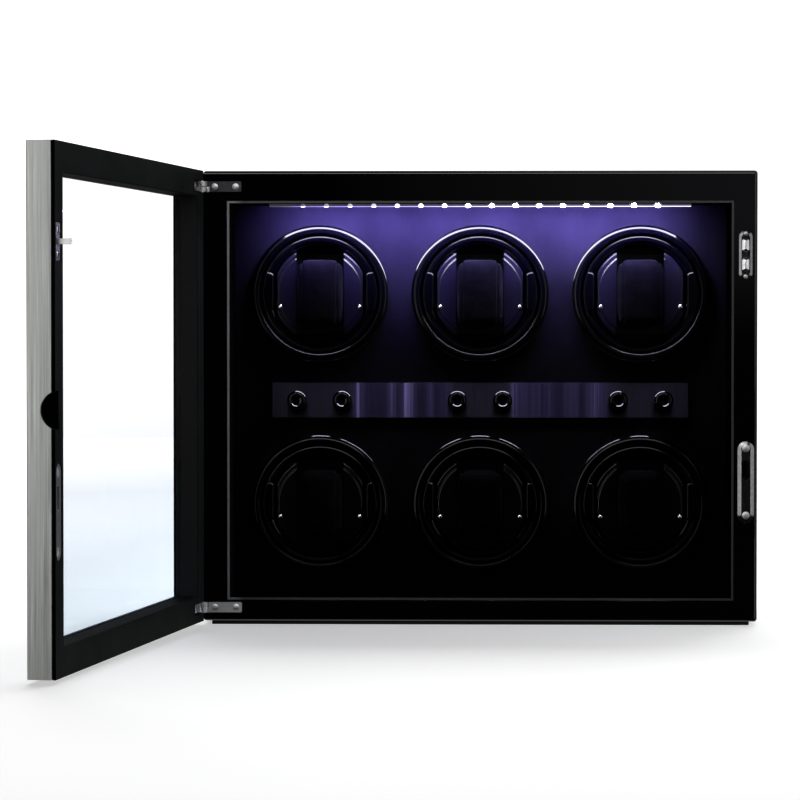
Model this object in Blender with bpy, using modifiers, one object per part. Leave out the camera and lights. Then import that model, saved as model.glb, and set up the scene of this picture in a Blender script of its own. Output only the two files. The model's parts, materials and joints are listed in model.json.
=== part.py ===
"""Watch winder box: a gloss black cabinet with a hinged glass door and six motor-driven watch rotors.

World metres, +Z up. The origin is the centre of the cabinet's footprint on the plane it stands on,
+X is to the right and the open front faces -Y. The door stands open about its left edge.
"""

import math

import bmesh
import bpy

# ---------------------------------------------------------------- driving dimensions

GAP = 0.0003  # between pieces that touch
CASE_WIDTH, CASE_DEPTH, CASE_HEIGHT = 0.420, 0.180, 0.342
PAD_THICKNESS, PAD_SIDE_INSET, PAD_END_INSET = 0.0025, 0.006, 0.004
DOOR_OPEN_DEG = 98.0

CASE_BOTTOM = PAD_THICKNESS + GAP
CASE_TOP = CASE_BOTTOM + CASE_HEIGHT
MIDDLE_Z = CASE_BOTTOM + CASE_HEIGHT / 2
HALF_WIDTH = CASE_WIDTH / 2
FRONT_Y, BACK_Y = -CASE_DEPTH / 2, CASE_DEPTH / 2
SIDE_WALL, BOTTOM_WALL, TOP_WALL = 0.0178, 0.0159, 0.0227
CAVITY_HALF = HALF_WIDTH - SIDE_WALL
CAVITY_LOW, CAVITY_HIGH = CASE_BOTTOM + BOTTOM_WALL, CASE_TOP - TOP_WALL
EDGE_ROUND = 0.0025
PAST = 0.010  # how far a cutter runs past the surface it cuts

BACK_THICKNESS, BACK_REBATE = 0.006, 0.006
LINER_THICKNESS, LINER_SET_BACK = 0.0016, 0.0002
FACIA_FRONT_Y, FACIA_THICKNESS = -0.035, 0.009
FACIA_BACK_Y = FACIA_FRONT_Y + FACIA_THICKNESS

# rotors: three columns by two rows
COLUMNS = {"left": -0.124, "centre": 0.0, "right": 0.124}
ROWS = {"upper": MIDDLE_Z + 0.0782, "lower": MIDDLE_Z - 0.0845}
BEZEL_OUTER, BEZEL_INNER, BEZEL_SLEEVE = 0.0530, 0.0460, 0.0474
FACIA_HOLE = 0.0482
BEZEL_FRONT_Y, BEZEL_EASE, BEZEL_FALL = FACIA_FRONT_Y - 0.0080, 0.002, 0.0015
CUP_RADIUS, CUP_INNER, CUP_EASE, CUP_FLARE = 0.0450, 0.0395, 0.0010, 0.0045
CUP_FRONT_Y, CUP_FLOOR_Y, CUP_BACK_Y = -0.0380, 0.0080, 0.0120
HUB_RADIUS, HUB_BACK_Y, SHAFT_RADIUS, SHAFT_TIP_Y = 0.0080, 0.0185, 0.0025, 0.0098
GRIP_INNER, GRIP_OUTER, GRIP_FRONT_Y = 0.0356, 0.0446, -0.0405
GRIP_LOW, GRIP_HIGH, GRIP_EASE = -0.014, 0.017, 0.003  # ends' heights about the rotor's axis
HOLDER_RADIUS, HOLDER_HALF, HOLDER_FRONT_Y, HOLDER_BACK_Y = 0.0373, 0.0330, -0.0360, 0.0075
HOLDER_PLATE, HOLDER_WALL, HOLDER_FLOOR = 0.0032, 0.0022, 0.0040
SLOT_HALF, CHANNEL_HALF_HEIGHT = 0.0185, 0.0310
CUSHION_HALF, CUSHION_HALF_HEIGHT = 0.0180, 0.0290
CUSHION_FRONT_Y, CUSHION_BACK_Y, CUSHION_ROUND = -0.0530, -0.0060, 0.006

# drives behind the facia
MOTOR_BOARD_Y, MOTOR_BOARD_THICKNESS, MOTOR_NOSE = 0.0200, 0.0060, 0.0060
GEARBOX_RADIUS, GEARBOX_LENGTH = 0.0185, 0.0200
MOTOR_RADIUS, MOTOR_LENGTH = 0.0120, 0.0260

# control strip with a pair of knobs under each column
STRIP_Z, STRIP_WIDTH, STRIP_HEIGHT, STRIP_THICKNESS = MIDDLE_Z - 0.0042, 0.322, 0.027, 0.002
KNOB_OFFSET, KNOB_RADIUS, KNOB_LENGTH = 0.0175, 0.0075, 0.0120
KNOB_SHAFT, KNOB_SHAFT_END_Y, KNOB_EASE = 0.0030, -0.0185, 0.0012
BOARD_FRONT_Y, BOARD_THICKNESS = -0.0170, 0.0016
SWITCH_SIZE = 0.0120

LED_BAR_LENGTH, LED_BAR_DEPTH, LED_BAR_HEIGHT, LED_BAR_FRONT_Y = 0.321, 0.010, 0.0018, -0.078

# door, drawn closed: x from the hinge axis, y from the hinge axis, z in the world
DOOR_CLEARANCE = 0.0005
AXIS_Y = FRONT_Y - DOOR_CLEARANCE / 2
DOOR_FACE = -DOOR_CLEARANCE / 2  # inner face
LINING_LIP = 0.0017
EDGE_START = DOOR_FACE - LINING_LIP - GAP
EDGE_DEPTH, SHEET = 0.0165, 0.0020
DOOR_FRONT = EDGE_START - EDGE_DEPTH
MEMBER = 0.020
GLASS_THICKNESS, GLASS_REBATE = 0.0028, 0.0055
GLASS_FRONT = DOOR_FRONT + SHEET + GAP
GLASS_BACK = GLASS_FRONT + GLASS_THICKNESS
NOTCH_RADIUS, NOTCH_OUTSIDE, NOTCH_DEPTH = 0.0127, 0.0034, 0.0080

# hardware
LEAF_LENGTH, LEAF_HEIGHT, LEAF_THICKNESS = 0.0290, 0.0077, 0.0012
HINGE_HEIGHTS = {"upper": MIDDLE_Z + 0.1590, "lower": MIDDLE_Z - 0.1607}
KNUCKLE_RADIUS, PIN_RADIUS, PIN_BORE = 0.0030, 0.0011, 0.0015
LEAF_START = KNUCKLE_RADIUS + 2 * GAP
CATCH_X, CATCH_Z = 0.2009, MIDDLE_Z + 0.1070
CATCH_PLATE_WIDTH, CATCH_PLATE_HEIGHT, PLATE = 0.0106, 0.0380, 0.0012
CATCH_BODY_WIDTH, CATCH_BODY_HEIGHT, CATCH_DEPTH = 0.0082, 0.0296, 0.0115
CATCH_POCKET_WIDTH, CATCH_POCKET_HEIGHT, CATCH_POCKET_DEPTH = 0.0066, 0.0278, 0.0105
JAW_WIDTH, JAW_NEAR, JAW_FAR, JAW_NOSE, JAW_DEPTH = 0.0060, 0.0021, 0.0127, 0.0019, 0.0090
TONGUE_WIDTH, TONGUE_HEIGHT, TONGUE_LENGTH = 0.0030, 0.0036, 0.0090
TONGUE_PLATE_WIDTH, TONGUE_PLATE_HEIGHT = 0.0120, 0.0240
LOCK_X, LOCK_Z = 0.2013, MIDDLE_Z - 0.0648
LOCK_PLATE_WIDTH, LOCK_PLATE_HEIGHT = 0.0129, 0.0620
SLOT_Z, LOCK_SLOT_WIDTH, LOCK_SLOT_HEIGHT = MIDDLE_Z - 0.0560, 0.0056, 0.0150
STRIKE_POCKET_DEPTH = 0.0120
LOCK_BODY_WIDTH, LOCK_BODY_HEIGHT, LOCK_BODY_DEPTH = 0.0100, 0.0420, 0.0110
HOOK_PIVOT_Z, HOOK_PIVOT_DEPTH = SLOT_Z - 0.0040, 0.0065
HOOK_THICKNESS, HOOK_ARM, HOOK_REACH = 0.0030, 0.0030, 0.0105
HOOK_NOSE_HEIGHT, HOOK_NOSE_REACH = 0.0030, 0.0020
HOOK_PIN, HOOK_PIN_LENGTH = 0.0012, 0.0080
KEY_BARREL, KEY_BARREL_DROP, KEY_SET_BACK = 0.0042, 0.0220, 0.0020
JACK_X, JACK_Z, JACK_STANDS_OUT = 0.150, 0.047, 0.0015
JACK_RADIUS, JACK_FLANGE, JACK_BORE, JACK_LENGTH, JACK_BORE_DEPTH = 0.0055, 0.0078, 0.0034, 0.014, 0.010

FINE, COARSE, SMALL = 24, 16, 12  # sides of large, hidden and small round pieces
FACING_FRONT = (math.pi / 2, 0, 0)  # turns a piece's own +Z to the front, and its +Y up


# ---------------------------------------------------------------- scene and helpers

for old in list(bpy.data.objects):
    bpy.data.objects.remove(old, do_unlink=True)

parts = bpy.data.collections.new("watch_winder_box")
helpers = bpy.data.collections.new("cutters")
for collection in (parts, helpers):
    bpy.context.scene.collection.children.link(collection)


def material(name, colour, roughness, metallic=0.0, transmission=0.0):
    """A plain finish."""
    made = bpy.data.materials.new(name)
    made.use_nodes = True
    shader = made.node_tree.nodes["Principled BSDF"]
    shader.inputs["Base Color"].default_value = (*colour, 1.0)
    shader.inputs["Roughness"].default_value = roughness
    shader.inputs["Metallic"].default_value = metallic
    shader.inputs["Transmission Weight"].default_value = transmission
    made.diffuse_color = (*colour, 1.0)
    return made


GLOSS_BLACK = material("gloss_black_lacquer", (0.006, 0.006, 0.007), 0.06)
SATIN_BLACK = material("satin_black", (0.011, 0.012, 0.013), 0.38)
LINER_GREY = material("liner_grey", (0.16, 0.16, 0.18), 0.45)
FACIA_CLOTH = material("facia_cloth", (0.022, 0.020, 0.030), 0.85)
BRUSHED_GREY = material("brushed_grey", (0.30, 0.31, 0.29), 0.34, 1.0)
DARK_METAL = material("dark_brushed_metal", (0.06, 0.055, 0.075), 0.30, 1.0)
CHROME = material("chrome", (0.78, 0.78, 0.80), 0.10, 1.0)
ROTOR_BLACK = material("rotor_gloss_black", (0.010, 0.010, 0.014), 0.10)
CUSHION_SUEDE = material("cushion_suede", (0.020, 0.018, 0.022), 0.80)
GLASS = material("clear_glass", (0.93, 0.96, 0.98), 0.02, 0.0, 1.0)
PAD_RUBBER = material("pad_rubber", (0.02, 0.02, 0.02), 0.75)
LED_WHITE = material("led_bar_white", (0.75, 0.75, 0.82), 0.40)
MOTOR_STEEL = material("motor_steel", (0.50, 0.50, 0.48), 0.35, 1.0)
BOARD_GREEN = material("circuit_board_green", (0.02, 0.12, 0.05), 0.45)
BOARD_BROWN = material("fibreboard", (0.16, 0.11, 0.07), 0.80)


def place(name, mesh, finish, location, rotation=(0, 0, 0), parent=None):
    """An object in the part, or a cutter where it has no finish."""
    made = bpy.data.objects.new(name, mesh)
    made.location = location
    made.rotation_euler = rotation
    made.parent = parent
    if finish is None:
        helpers.objects.link(made)
        made.hide_render = True
        made.display_type = "WIRE"
    else:
        parts.objects.link(made)
        mesh.materials.append(finish)
    return made


def box(name, finish, low, high, parent=None, rounding=0.0, segments=2):
    """A box from its lowest to its highest corner."""
    mesh = bpy.data.meshes.new(name)
    form = bmesh.new()
    bmesh.ops.create_cube(form, size=1.0)
    bmesh.ops.scale(form, vec=[b - a for a, b in zip(low, high)], verts=form.verts)
    form.to_mesh(mesh)
    form.free()
    made = place(name, mesh, finish, [(a + b) / 2 for a, b in zip(low, high)], parent=parent)
    if rounding:
        edge = made.modifiers.new("rounding", "BEVEL")
        edge.width = rounding
        edge.segments = segments
    return made


def middle_box(name, finish, centre, size, parent=None, **options):
    """A box about its centre."""
    low = [c - s / 2 for c, s in zip(centre, size)]
    high = [c + s / 2 for c, s in zip(centre, size)]
    return box(name, finish, low, high, parent, **options)


def rod(name, finish, centre, radius, length, axis="Z", sides=SMALL, parent=None):
    """A cylinder about its centre, along X, Y or Z."""
    mesh = bpy.data.meshes.new(name)
    form = bmesh.new()
    bmesh.ops.create_cone(
        form, cap_ends=True, segments=sides, radius1=radius, radius2=radius, depth=length
    )
    form.to_mesh(mesh)
    form.free()
    smooth(mesh)
    turn = {"X": (0, math.pi / 2, 0), "Y": FACING_FRONT, "Z": (0, 0, 0)}[axis]
    return place(name, mesh, finish, centre, turn, parent)


def smooth(mesh):
    mesh.shade_smooth()
    mesh.set_sharp_from_angle(angle=math.radians(35))


def turned(name, finish, centre, profile, sides, closed=False):
    """A turned piece on an axis along Y. The profile is (radius, world y), running over the piece's
    front and then down its outer side to the back."""
    mesh = bpy.data.meshes.new(name)
    points = [(radius, 0, -y) for radius, y in profile]
    count = len(points)
    edges = [(i, (i + 1) % count) for i in range(count if closed else count - 1)]
    mesh.from_pydata(points, edges, [])
    made = place(name, mesh, finish, (centre[0], 0, centre[1]), FACING_FRONT)
    screw = made.modifiers.new("turning", "SCREW")
    screw.steps = screw.render_steps = sides
    screw.use_merge_vertices = True
    screw.merge_threshold = 0.00001
    return made


def prism(name, finish, outline, centre, front_y, back_y, parent=None):
    """A flat piece that faces the front, from its outline in x and height about its centre."""
    curve = bpy.data.curves.new(name, "CURVE")
    curve.dimensions = "2D"
    curve.fill_mode = "BOTH"
    curve.extrude = (back_y - front_y) / 2
    spline = curve.splines.new("POLY")
    spline.points.add(len(outline) - 1)
    for point, (x, height) in zip(spline.points, outline):
        point.co = (x, height, 0, 1)
    spline.use_cyclic_u = True
    drawn = bpy.data.objects.new(name + "_outline", curve)
    helpers.objects.link(drawn)
    graph = bpy.context.evaluated_depsgraph_get()
    mesh = bpy.data.meshes.new_from_object(drawn.evaluated_get(graph))
    bpy.data.objects.remove(drawn)
    form = bmesh.new()
    form.from_mesh(mesh)
    bmesh.ops.remove_doubles(form, verts=form.verts, dist=0.000001)
    bmesh.ops.recalc_face_normals(form, faces=form.faces)
    form.to_mesh(mesh)
    form.free()
    mesh.materials.clear()
    middle_y = (front_y + back_y) / 2
    return place(name, mesh, finish, (centre[0], middle_y, centre[1]), FACING_FRONT, parent)


def stadium(width, height, steps=6):
    """The outline of a plate with round ends, longer in height."""
    radius, straight = width / 2, (height - width) / 2
    arc = [math.pi * i / steps for i in range(steps + 1)]
    top = [(radius * math.cos(a), straight + radius * math.sin(a)) for a in arc]
    return top + [(-x, -h) for x, h in top]


def combine(piece, operation, *others):
    for other in others:
        step = piece.modifiers.new(other.name, "BOOLEAN")
        step.operation = operation
        step.object = other
        step.solver = "EXACT"


def cut(piece, *cutters):
    combine(piece, "DIFFERENCE", *cutters)


def join(piece, *others):
    combine(piece, "UNION", *others)


def rotors():
    """(name, x, z) of each rotor's axis."""
    return [(f"{r}_{c}", x, z) for r, z in ROWS.items() for c, x in COLUMNS.items()]


def knobs():
    """(name, x, z) of each knob's axis: the left knob of a pair drives the upper rotor."""
    pair = {"upper": -KNOB_OFFSET, "lower": KNOB_OFFSET}
    return [(f"{r}_{c}", x + dx, STRIP_Z) for c, x in COLUMNS.items() for r, dx in pair.items()]


# ---------------------------------------------------------------- cabinet


def make_case():
    """The glued and lacquered case, open at the front and back."""
    case = box(
        "cabinet_case",
        GLOSS_BLACK,
        (-HALF_WIDTH, FRONT_Y, CASE_BOTTOM),
        (HALF_WIDTH, BACK_Y, CASE_TOP),
        rounding=EDGE_ROUND,
    )
    cavity = box(
        "case_cavity",
        None,
        (-CAVITY_HALF, FRONT_Y - PAST, CAVITY_LOW),
        (CAVITY_HALF, BACK_Y + PAST, CAVITY_HIGH),
    )
    rebate = box(
        "case_back_rebate",
        None,
        (-CAVITY_HALF - BACK_REBATE, BACK_Y - BACK_THICKNESS - GAP, CAVITY_LOW - BACK_REBATE),
        (CAVITY_HALF + BACK_REBATE, BACK_Y + PAST, CAVITY_HIGH + BACK_REBATE),
    )
    cut(case, cavity, rebate)
    for end, z in HINGE_HEIGHTS.items():
        length = LEAF_LENGTH + GAP
        depth = LEAF_THICKNESS + GAP
        mortise = box(
            f"case_mortise_{end}",
            None,
            (-HALF_WIDTH - PAST, FRONT_Y - PAST, z - LEAF_HEIGHT / 2 - GAP),
            (-HALF_WIDTH + length, FRONT_Y + depth, z + LEAF_HEIGHT / 2 + GAP),
        )
        room = rod(
            f"case_knuckle_room_{end}",
            None,
            (-HALF_WIDTH, AXIS_Y, z),
            KNUCKLE_RADIUS + 2 * GAP,
            LEAF_HEIGHT + 2 * GAP,
            sides=COARSE,
        )
        cut(case, mortise, room)
    catch_plate = prism(
        "case_catch_recess",
        None,
        stadium(CATCH_PLATE_WIDTH + 2 * GAP, CATCH_PLATE_HEIGHT + 2 * GAP, 4),
        (CATCH_X, CATCH_Z),
        FRONT_Y - PAST,
        FRONT_Y + PLATE + GAP,
    )
    catch_pocket = middle_box(
        "case_catch_pocket",
        None,
        (CATCH_X, FRONT_Y, CATCH_Z),
        (CATCH_BODY_WIDTH + 2 * GAP, 2 * (CATCH_DEPTH + GAP), CATCH_BODY_HEIGHT + 2 * GAP),
    )
    strike_recess = prism(
        "case_strike_recess",
        None,
        stadium(LOCK_PLATE_WIDTH + 2 * GAP, LOCK_PLATE_HEIGHT + 2 * GAP),
        (LOCK_X, LOCK_Z),
        FRONT_Y - PAST,
        FRONT_Y + PLATE + GAP,
    )
    strike_pocket = middle_box(
        "case_strike_pocket",
        None,
        (LOCK_X, FRONT_Y, SLOT_Z),
        (LOCK_SLOT_WIDTH + 0.001, 2 * STRIKE_POCKET_DEPTH, LOCK_SLOT_HEIGHT + 0.003),
    )
    cut(case, catch_plate, catch_pocket, strike_recess, strike_pocket)


def inside(name, finish, y0, y1, inset=GAP, **options):
    """A board that fills the cavity's outline."""
    return box(
        name,
        finish,
        (-CAVITY_HALF + inset, y0, CAVITY_LOW + inset),
        (CAVITY_HALF - inset, y1, CAVITY_HIGH - inset),
        **options,
    )


def make_liner_and_back():
    liner = inside("interior_liner", LINER_GREY, FRONT_Y + LINER_SET_BACK, FACIA_FRONT_Y - GAP)
    hollow = inside(
        "liner_hollow", None, FRONT_Y - PAST, FACIA_FRONT_Y + PAST, GAP + LINER_THICKNESS
    )
    cut(liner, hollow)

    back = inside("back_panel", SATIN_BLACK, BACK_Y - BACK_THICKNESS, BACK_Y, GAP - BACK_REBATE)
    jack_hole = rod(
        "jack_hole", None, (JACK_X, BACK_Y, JACK_Z), JACK_RADIUS + GAP, 0.04, "Y", COARSE
    )
    cut(back, jack_hole)
    bottom = BACK_Y + JACK_STANDS_OUT
    bore_end = bottom - JACK_BORE_DEPTH
    turned(
        "dc_jack",
        SATIN_BLACK,
        (JACK_X, JACK_Z),
        [
            (0, bottom - JACK_LENGTH),
            (JACK_RADIUS, bottom - JACK_LENGTH),
            (JACK_RADIUS, BACK_Y + GAP),
            (JACK_FLANGE, BACK_Y + GAP),
            (JACK_FLANGE, bottom),
            (JACK_BORE, bottom),
            (JACK_BORE, bore_end),
            (0, bore_end),
        ],
        COARSE,
    )
    box(
        "base_pad",
        PAD_RUBBER,
        (-HALF_WIDTH + PAD_SIDE_INSET, FRONT_Y + PAD_END_INSET, 0),
        (HALF_WIDTH - PAD_SIDE_INSET, BACK_Y - PAD_END_INSET, PAD_THICKNESS),
    )


def make_facia():
    facia = inside("facia_panel", FACIA_CLOTH, FACIA_FRONT_Y, FACIA_BACK_Y)
    drives = inside(
        "motor_board", BOARD_BROWN, MOTOR_BOARD_Y, MOTOR_BOARD_Y + MOTOR_BOARD_THICKNESS
    )
    for name, x, z in rotors():
        cut(facia, rod(f"facia_hole_{name}", None, (x, FACIA_FRONT_Y, z), FACIA_HOLE, 0.04, "Y", FINE))
        nose = (x, MOTOR_BOARD_Y, z)
        cut(drives, rod(f"nose_hole_{name}", None, nose, MOTOR_NOSE + 2 * GAP, 0.04, "Y", SMALL))
    strip = middle_box(
        "control_strip",
        DARK_METAL,
        (0, FACIA_FRONT_Y - GAP - STRIP_THICKNESS / 2, STRIP_Z),
        (STRIP_WIDTH, STRIP_THICKNESS, STRIP_HEIGHT),
    )
    board = middle_box(
        "control_board",
        BOARD_GREEN,
        (0, BOARD_FRONT_Y + BOARD_THICKNESS / 2, STRIP_Z),
        (STRIP_WIDTH - 0.02, BOARD_THICKNESS, STRIP_HEIGHT),
    )
    for name, x, z in knobs():
        shaft = rod(f"shaft_hole_{name}", None, (x, FACIA_FRONT_Y, z), KNOB_SHAFT + 2 * GAP, 0.06, "Y")
        cut(facia, shaft)
        cut(strip, shaft)
        switch = box(
            f"switch_{name}",
            None,
            (x - SWITCH_SIZE / 2, FACIA_BACK_Y + GAP, z - SWITCH_SIZE / 2),
            (x + SWITCH_SIZE / 2, BOARD_FRONT_Y + BOARD_THICKNESS / 2, z + SWITCH_SIZE / 2),
        )
        join(board, switch)
        cut(board, shaft)
    low = CAVITY_HIGH - GAP - LINER_THICKNESS - GAP - LED_BAR_HEIGHT
    box(
        "led_bar",
        LED_WHITE,
        (-LED_BAR_LENGTH / 2, LED_BAR_FRONT_Y, low),
        (LED_BAR_LENGTH / 2, LED_BAR_FRONT_Y + LED_BAR_DEPTH, low + LED_BAR_HEIGHT),
    )


def make_knob(name, x, z):
    back = FACIA_FRONT_Y - STRIP_THICKNESS - 2 * GAP
    front = back - KNOB_LENGTH
    turned(
        f"program_knob_{name}",
        ROTOR_BLACK,
        (x, z),
        [
            (0, front),
            (KNOB_RADIUS - KNOB_EASE, front),
            (KNOB_RADIUS, front + KNOB_EASE),
            (KNOB_RADIUS, back),
            (KNOB_SHAFT, back),
            (KNOB_SHAFT, KNOB_SHAFT_END_Y),
            (0, KNOB_SHAFT_END_Y),
        ],
        COARSE,
    )


# ---------------------------------------------------------------- rotor units


def grip_outline(side, steps=4):
    """A grip that follows the cup's rim outside, with a straight inner edge and sloped ends."""
    low, high = math.asin(GRIP_LOW / GRIP_OUTER), math.asin(GRIP_HIGH / GRIP_OUTER)
    arc = [low + (high - low) * i / steps for i in range(steps + 1)]
    outer = [(side * GRIP_OUTER * math.cos(a), GRIP_OUTER * math.sin(a)) for a in arc]
    inner = [(side * GRIP_INNER, GRIP_HIGH - GRIP_EASE), (side * GRIP_INNER, GRIP_LOW + GRIP_EASE)]
    return outer + inner


def make_rotor(name, x, z):
    """Fixed bezel, turning cup, pull-out holder with its cushion, and the gearmotor behind."""
    turned(
        f"bezel_ring_{name}",
        ROTOR_BLACK,
        (x, z),
        [
            (BEZEL_INNER, BEZEL_FRONT_Y + BEZEL_EASE),
            (BEZEL_INNER + BEZEL_EASE, BEZEL_FRONT_Y),
            (BEZEL_OUTER - BEZEL_EASE, BEZEL_FRONT_Y + BEZEL_FALL),
            (BEZEL_OUTER, FACIA_FRONT_Y - GAP),
            (BEZEL_SLEEVE, FACIA_FRONT_Y - GAP),
            (BEZEL_SLEEVE, FACIA_BACK_Y),
            (BEZEL_INNER, FACIA_BACK_Y),
        ],
        FINE,
        closed=True,
    )

    bore_end = SHAFT_TIP_Y - 2 * GAP
    cup = turned(
        f"rotor_cup_{name}",
        ROTOR_BLACK,
        (x, z),
        [
            (0, CUP_FLOOR_Y),
            (CUP_INNER, CUP_FLOOR_Y),
            (CUP_INNER, CUP_FRONT_Y + CUP_FLARE),
            (CUP_RADIUS - CUP_EASE, CUP_FRONT_Y),
            (CUP_RADIUS, CUP_FRONT_Y + CUP_EASE),
            (CUP_RADIUS, CUP_BACK_Y),
            (HUB_RADIUS, CUP_BACK_Y),
            (HUB_RADIUS, HUB_BACK_Y),
            (SHAFT_RADIUS + GAP, HUB_BACK_Y),
            (SHAFT_RADIUS + GAP, bore_end),
            (0, bore_end),
        ],
        FINE,
    )
    for side, label in ((-1, "a"), (1, "b")):
        grip = prism(
            f"grip_{label}_{name}",
            None,
            grip_outline(side),
            (x, z),
            GRIP_FRONT_Y,
            CUP_FRONT_Y + 0.004,
        )
        join(cup, grip)

    make_holder(name, x, z)
    middle_box(
        f"watch_cushion_{name}",
        CUSHION_SUEDE,
        (x, (CUSHION_FRONT_Y + CUSHION_BACK_Y) / 2, z),
        (2 * CUSHION_HALF, CUSHION_BACK_Y - CUSHION_FRONT_Y, 2 * CUSHION_HALF_HEIGHT),
        rounding=CUSHION_ROUND,
    )

    gearbox = MOTOR_BOARD_Y + MOTOR_BOARD_THICKNESS + GAP
    can = gearbox + GEARBOX_LENGTH
    end = can + MOTOR_LENGTH
    turned(
        f"gearmotor_{name}",
        MOTOR_STEEL,
        (x, z),
        [
            (0, SHAFT_TIP_Y),
            (SHAFT_RADIUS, SHAFT_TIP_Y),
            (SHAFT_RADIUS, MOTOR_BOARD_Y),
            (MOTOR_NOSE, MOTOR_BOARD_Y),
            (MOTOR_NOSE, gearbox),
            (GEARBOX_RADIUS, gearbox),
            (GEARBOX_RADIUS, can),
            (MOTOR_RADIUS, can),
            (MOTOR_RADIUS, end),
            (0, end),
        ],
        COARSE,
    )


def make_holder(name, x, z):
    """A round front plate with flat sides, on a channel that is open above and below the cushion."""
    plate_back = HOLDER_FRONT_Y + HOLDER_PLATE
    holder = rod(
        f"watch_holder_{name}",
        ROTOR_BLACK,
        (x, (HOLDER_FRONT_Y + plate_back) / 2, z),
        HOLDER_RADIUS,
        HOLDER_PLATE,
        "Y",
        FINE,
    )
    wall = SLOT_HALF + HOLDER_WALL
    channel = box(
        f"holder_channel_{name}",
        None,
        (x - wall, HOLDER_FRONT_Y + HOLDER_PLATE / 2, z - CHANNEL_HALF_HEIGHT),
        (x + wall, HOLDER_BACK_Y, z + CHANNEL_HALF_HEIGHT),
    )
    join(holder, channel)
    slot = box(
        f"holder_slot_{name}",
        None,
        (x - SLOT_HALF, HOLDER_FRONT_Y - PAST, z - HOLDER_RADIUS - PAST),
        (x + SLOT_HALF, HOLDER_BACK_Y - HOLDER_FLOOR, z + HOLDER_RADIUS + PAST),
    )
    sides = [
        middle_box(
            f"holder_side_{label}_{name}",
            None,
            (x + side * (HOLDER_HALF + PAST), HOLDER_FRONT_Y, z),
            (2 * PAST, 4 * PAST, 0.1),
        )
        for side, label in ((-1, "a"), (1, "b"))
    ]
    cut(holder, slot, *sides)


# ---------------------------------------------------------------- door


def door_span(inset, high_y, low_y):
    """The corners of a block set in from the closed door's outline on every side."""
    low = (inset, low_y, CASE_BOTTOM + inset)
    high = (CASE_WIDTH - inset, high_y, CASE_TOP - inset)
    return low, high


def make_door():
    """The door, drawn closed about its hinge axis and then turned open with its pivot."""
    pivot = bpy.data.objects.new("door_pivot", None)
    pivot.location = (-HALF_WIDTH, AXIS_Y, 0)
    pivot.rotation_euler = (0, 0, -math.radians(DOOR_OPEN_DEG))
    parts.objects.link(pivot)

    frame = box("door_frame", BRUSHED_GREY, *door_span(0, EDGE_START, DOOR_FRONT), pivot)
    tray = box("frame_tray", None, *door_span(SHEET, PAST, DOOR_FRONT + SHEET), pivot)
    window = box("door_window", None, *door_span(MEMBER, PAST, DOOR_FRONT - PAST), pivot)
    cut(frame, tray, window)

    lip = door_span(0, DOOR_FACE, DOOR_FACE - LINING_LIP)
    lining = box("door_lining", SATIN_BLACK, *lip, pivot)
    core_span = door_span(SHEET + GAP, DOOR_FACE - LINING_LIP / 2, GLASS_BACK + GAP)
    core = box("lining_core", None, *core_span, pivot)
    join(lining, core)
    cut(lining, window)

    inset = MEMBER - GLASS_REBATE
    box("door_glass", GLASS, *door_span(inset, GLASS_BACK, GLASS_FRONT), pivot)

    notch = rod(
        "finger_notch",
        None,
        (CASE_WIDTH, DOOR_FACE + NOTCH_OUTSIDE, MIDDLE_Z),
        NOTCH_RADIUS,
        2 * NOTCH_DEPTH,
        "X",
        FINE,
        pivot,
    )
    cut(frame, notch)
    cut(lining, notch)
    make_door_hinges(pivot, frame, lining)
    make_catch_tongue(pivot, lining)
    make_door_lock(pivot, frame, lining)


def make_door_hinges(pivot, frame, lining):
    for end, z in HINGE_HEIGHTS.items():
        room = rod(
            f"door_knuckle_room_{end}",
            None,
            (0, 0, z),
            KNUCKLE_RADIUS + 2 * GAP,
            LEAF_HEIGHT + 2 * GAP,
            sides=COARSE,
            parent=pivot,
        )
        mortise = box(
            f"door_mortise_{end}",
            None,
            (-PAST, DOOR_FACE - LEAF_THICKNESS - GAP, z - LEAF_HEIGHT / 2 - GAP),
            (LEAF_LENGTH + GAP, PAST, z + LEAF_HEIGHT / 2 + GAP),
            pivot,
        )
        cut(frame, room)
        cut(lining, room, mortise)
        make_leaf(f"hinge_{end}_door_leaf", z, DOOR_FACE - LEAF_THICKNESS, 1, pivot)
        make_leaf(f"hinge_{end}_case_leaf", z, -DOOR_FACE, -1, None)


def make_leaf(name, z, low_y, half, parent):
    """A strap with half of the knuckle at its end: the upper half (1) on the door, the lower half (-1)
    with the pin on the case. y is from the hinge axis."""
    x0, y0 = (0, 0) if parent else (-HALF_WIDTH, AXIS_Y)
    leaf = box(
        name,
        CHROME,
        (x0 + LEAF_START, y0 + low_y, z - LEAF_HEIGHT / 2),
        (x0 + LEAF_LENGTH, y0 + low_y + LEAF_THICKNESS, z + LEAF_HEIGHT / 2),
        parent,
    )
    low, high = sorted((half * GAP / 2, half * LEAF_HEIGHT / 2))
    barrel = rod(
        f"{name}_barrel",
        None,
        (x0, y0, z + (low + high) / 2),
        KNUCKLE_RADIUS,
        high - low,
        sides=COARSE,
        parent=parent,
    )
    tab = box(
        f"{name}_tab",
        None,
        (x0 + KNUCKLE_RADIUS / 2, y0 + low_y, z + low),
        (x0 + LEAF_START + 0.001, y0 + low_y + LEAF_THICKNESS, z + high),
        parent,
    )
    join(leaf, barrel, tab)
    length = 2 * LEAF_HEIGHT if half == 1 else LEAF_HEIGHT - 0.001
    radius = PIN_BORE if half == 1 else PIN_RADIUS
    pin = rod(f"{name}_pin", None, (x0, y0, z), radius, length, sides=SMALL, parent=parent)
    combine(leaf, "DIFFERENCE" if half == 1 else "UNION", pin)


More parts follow.
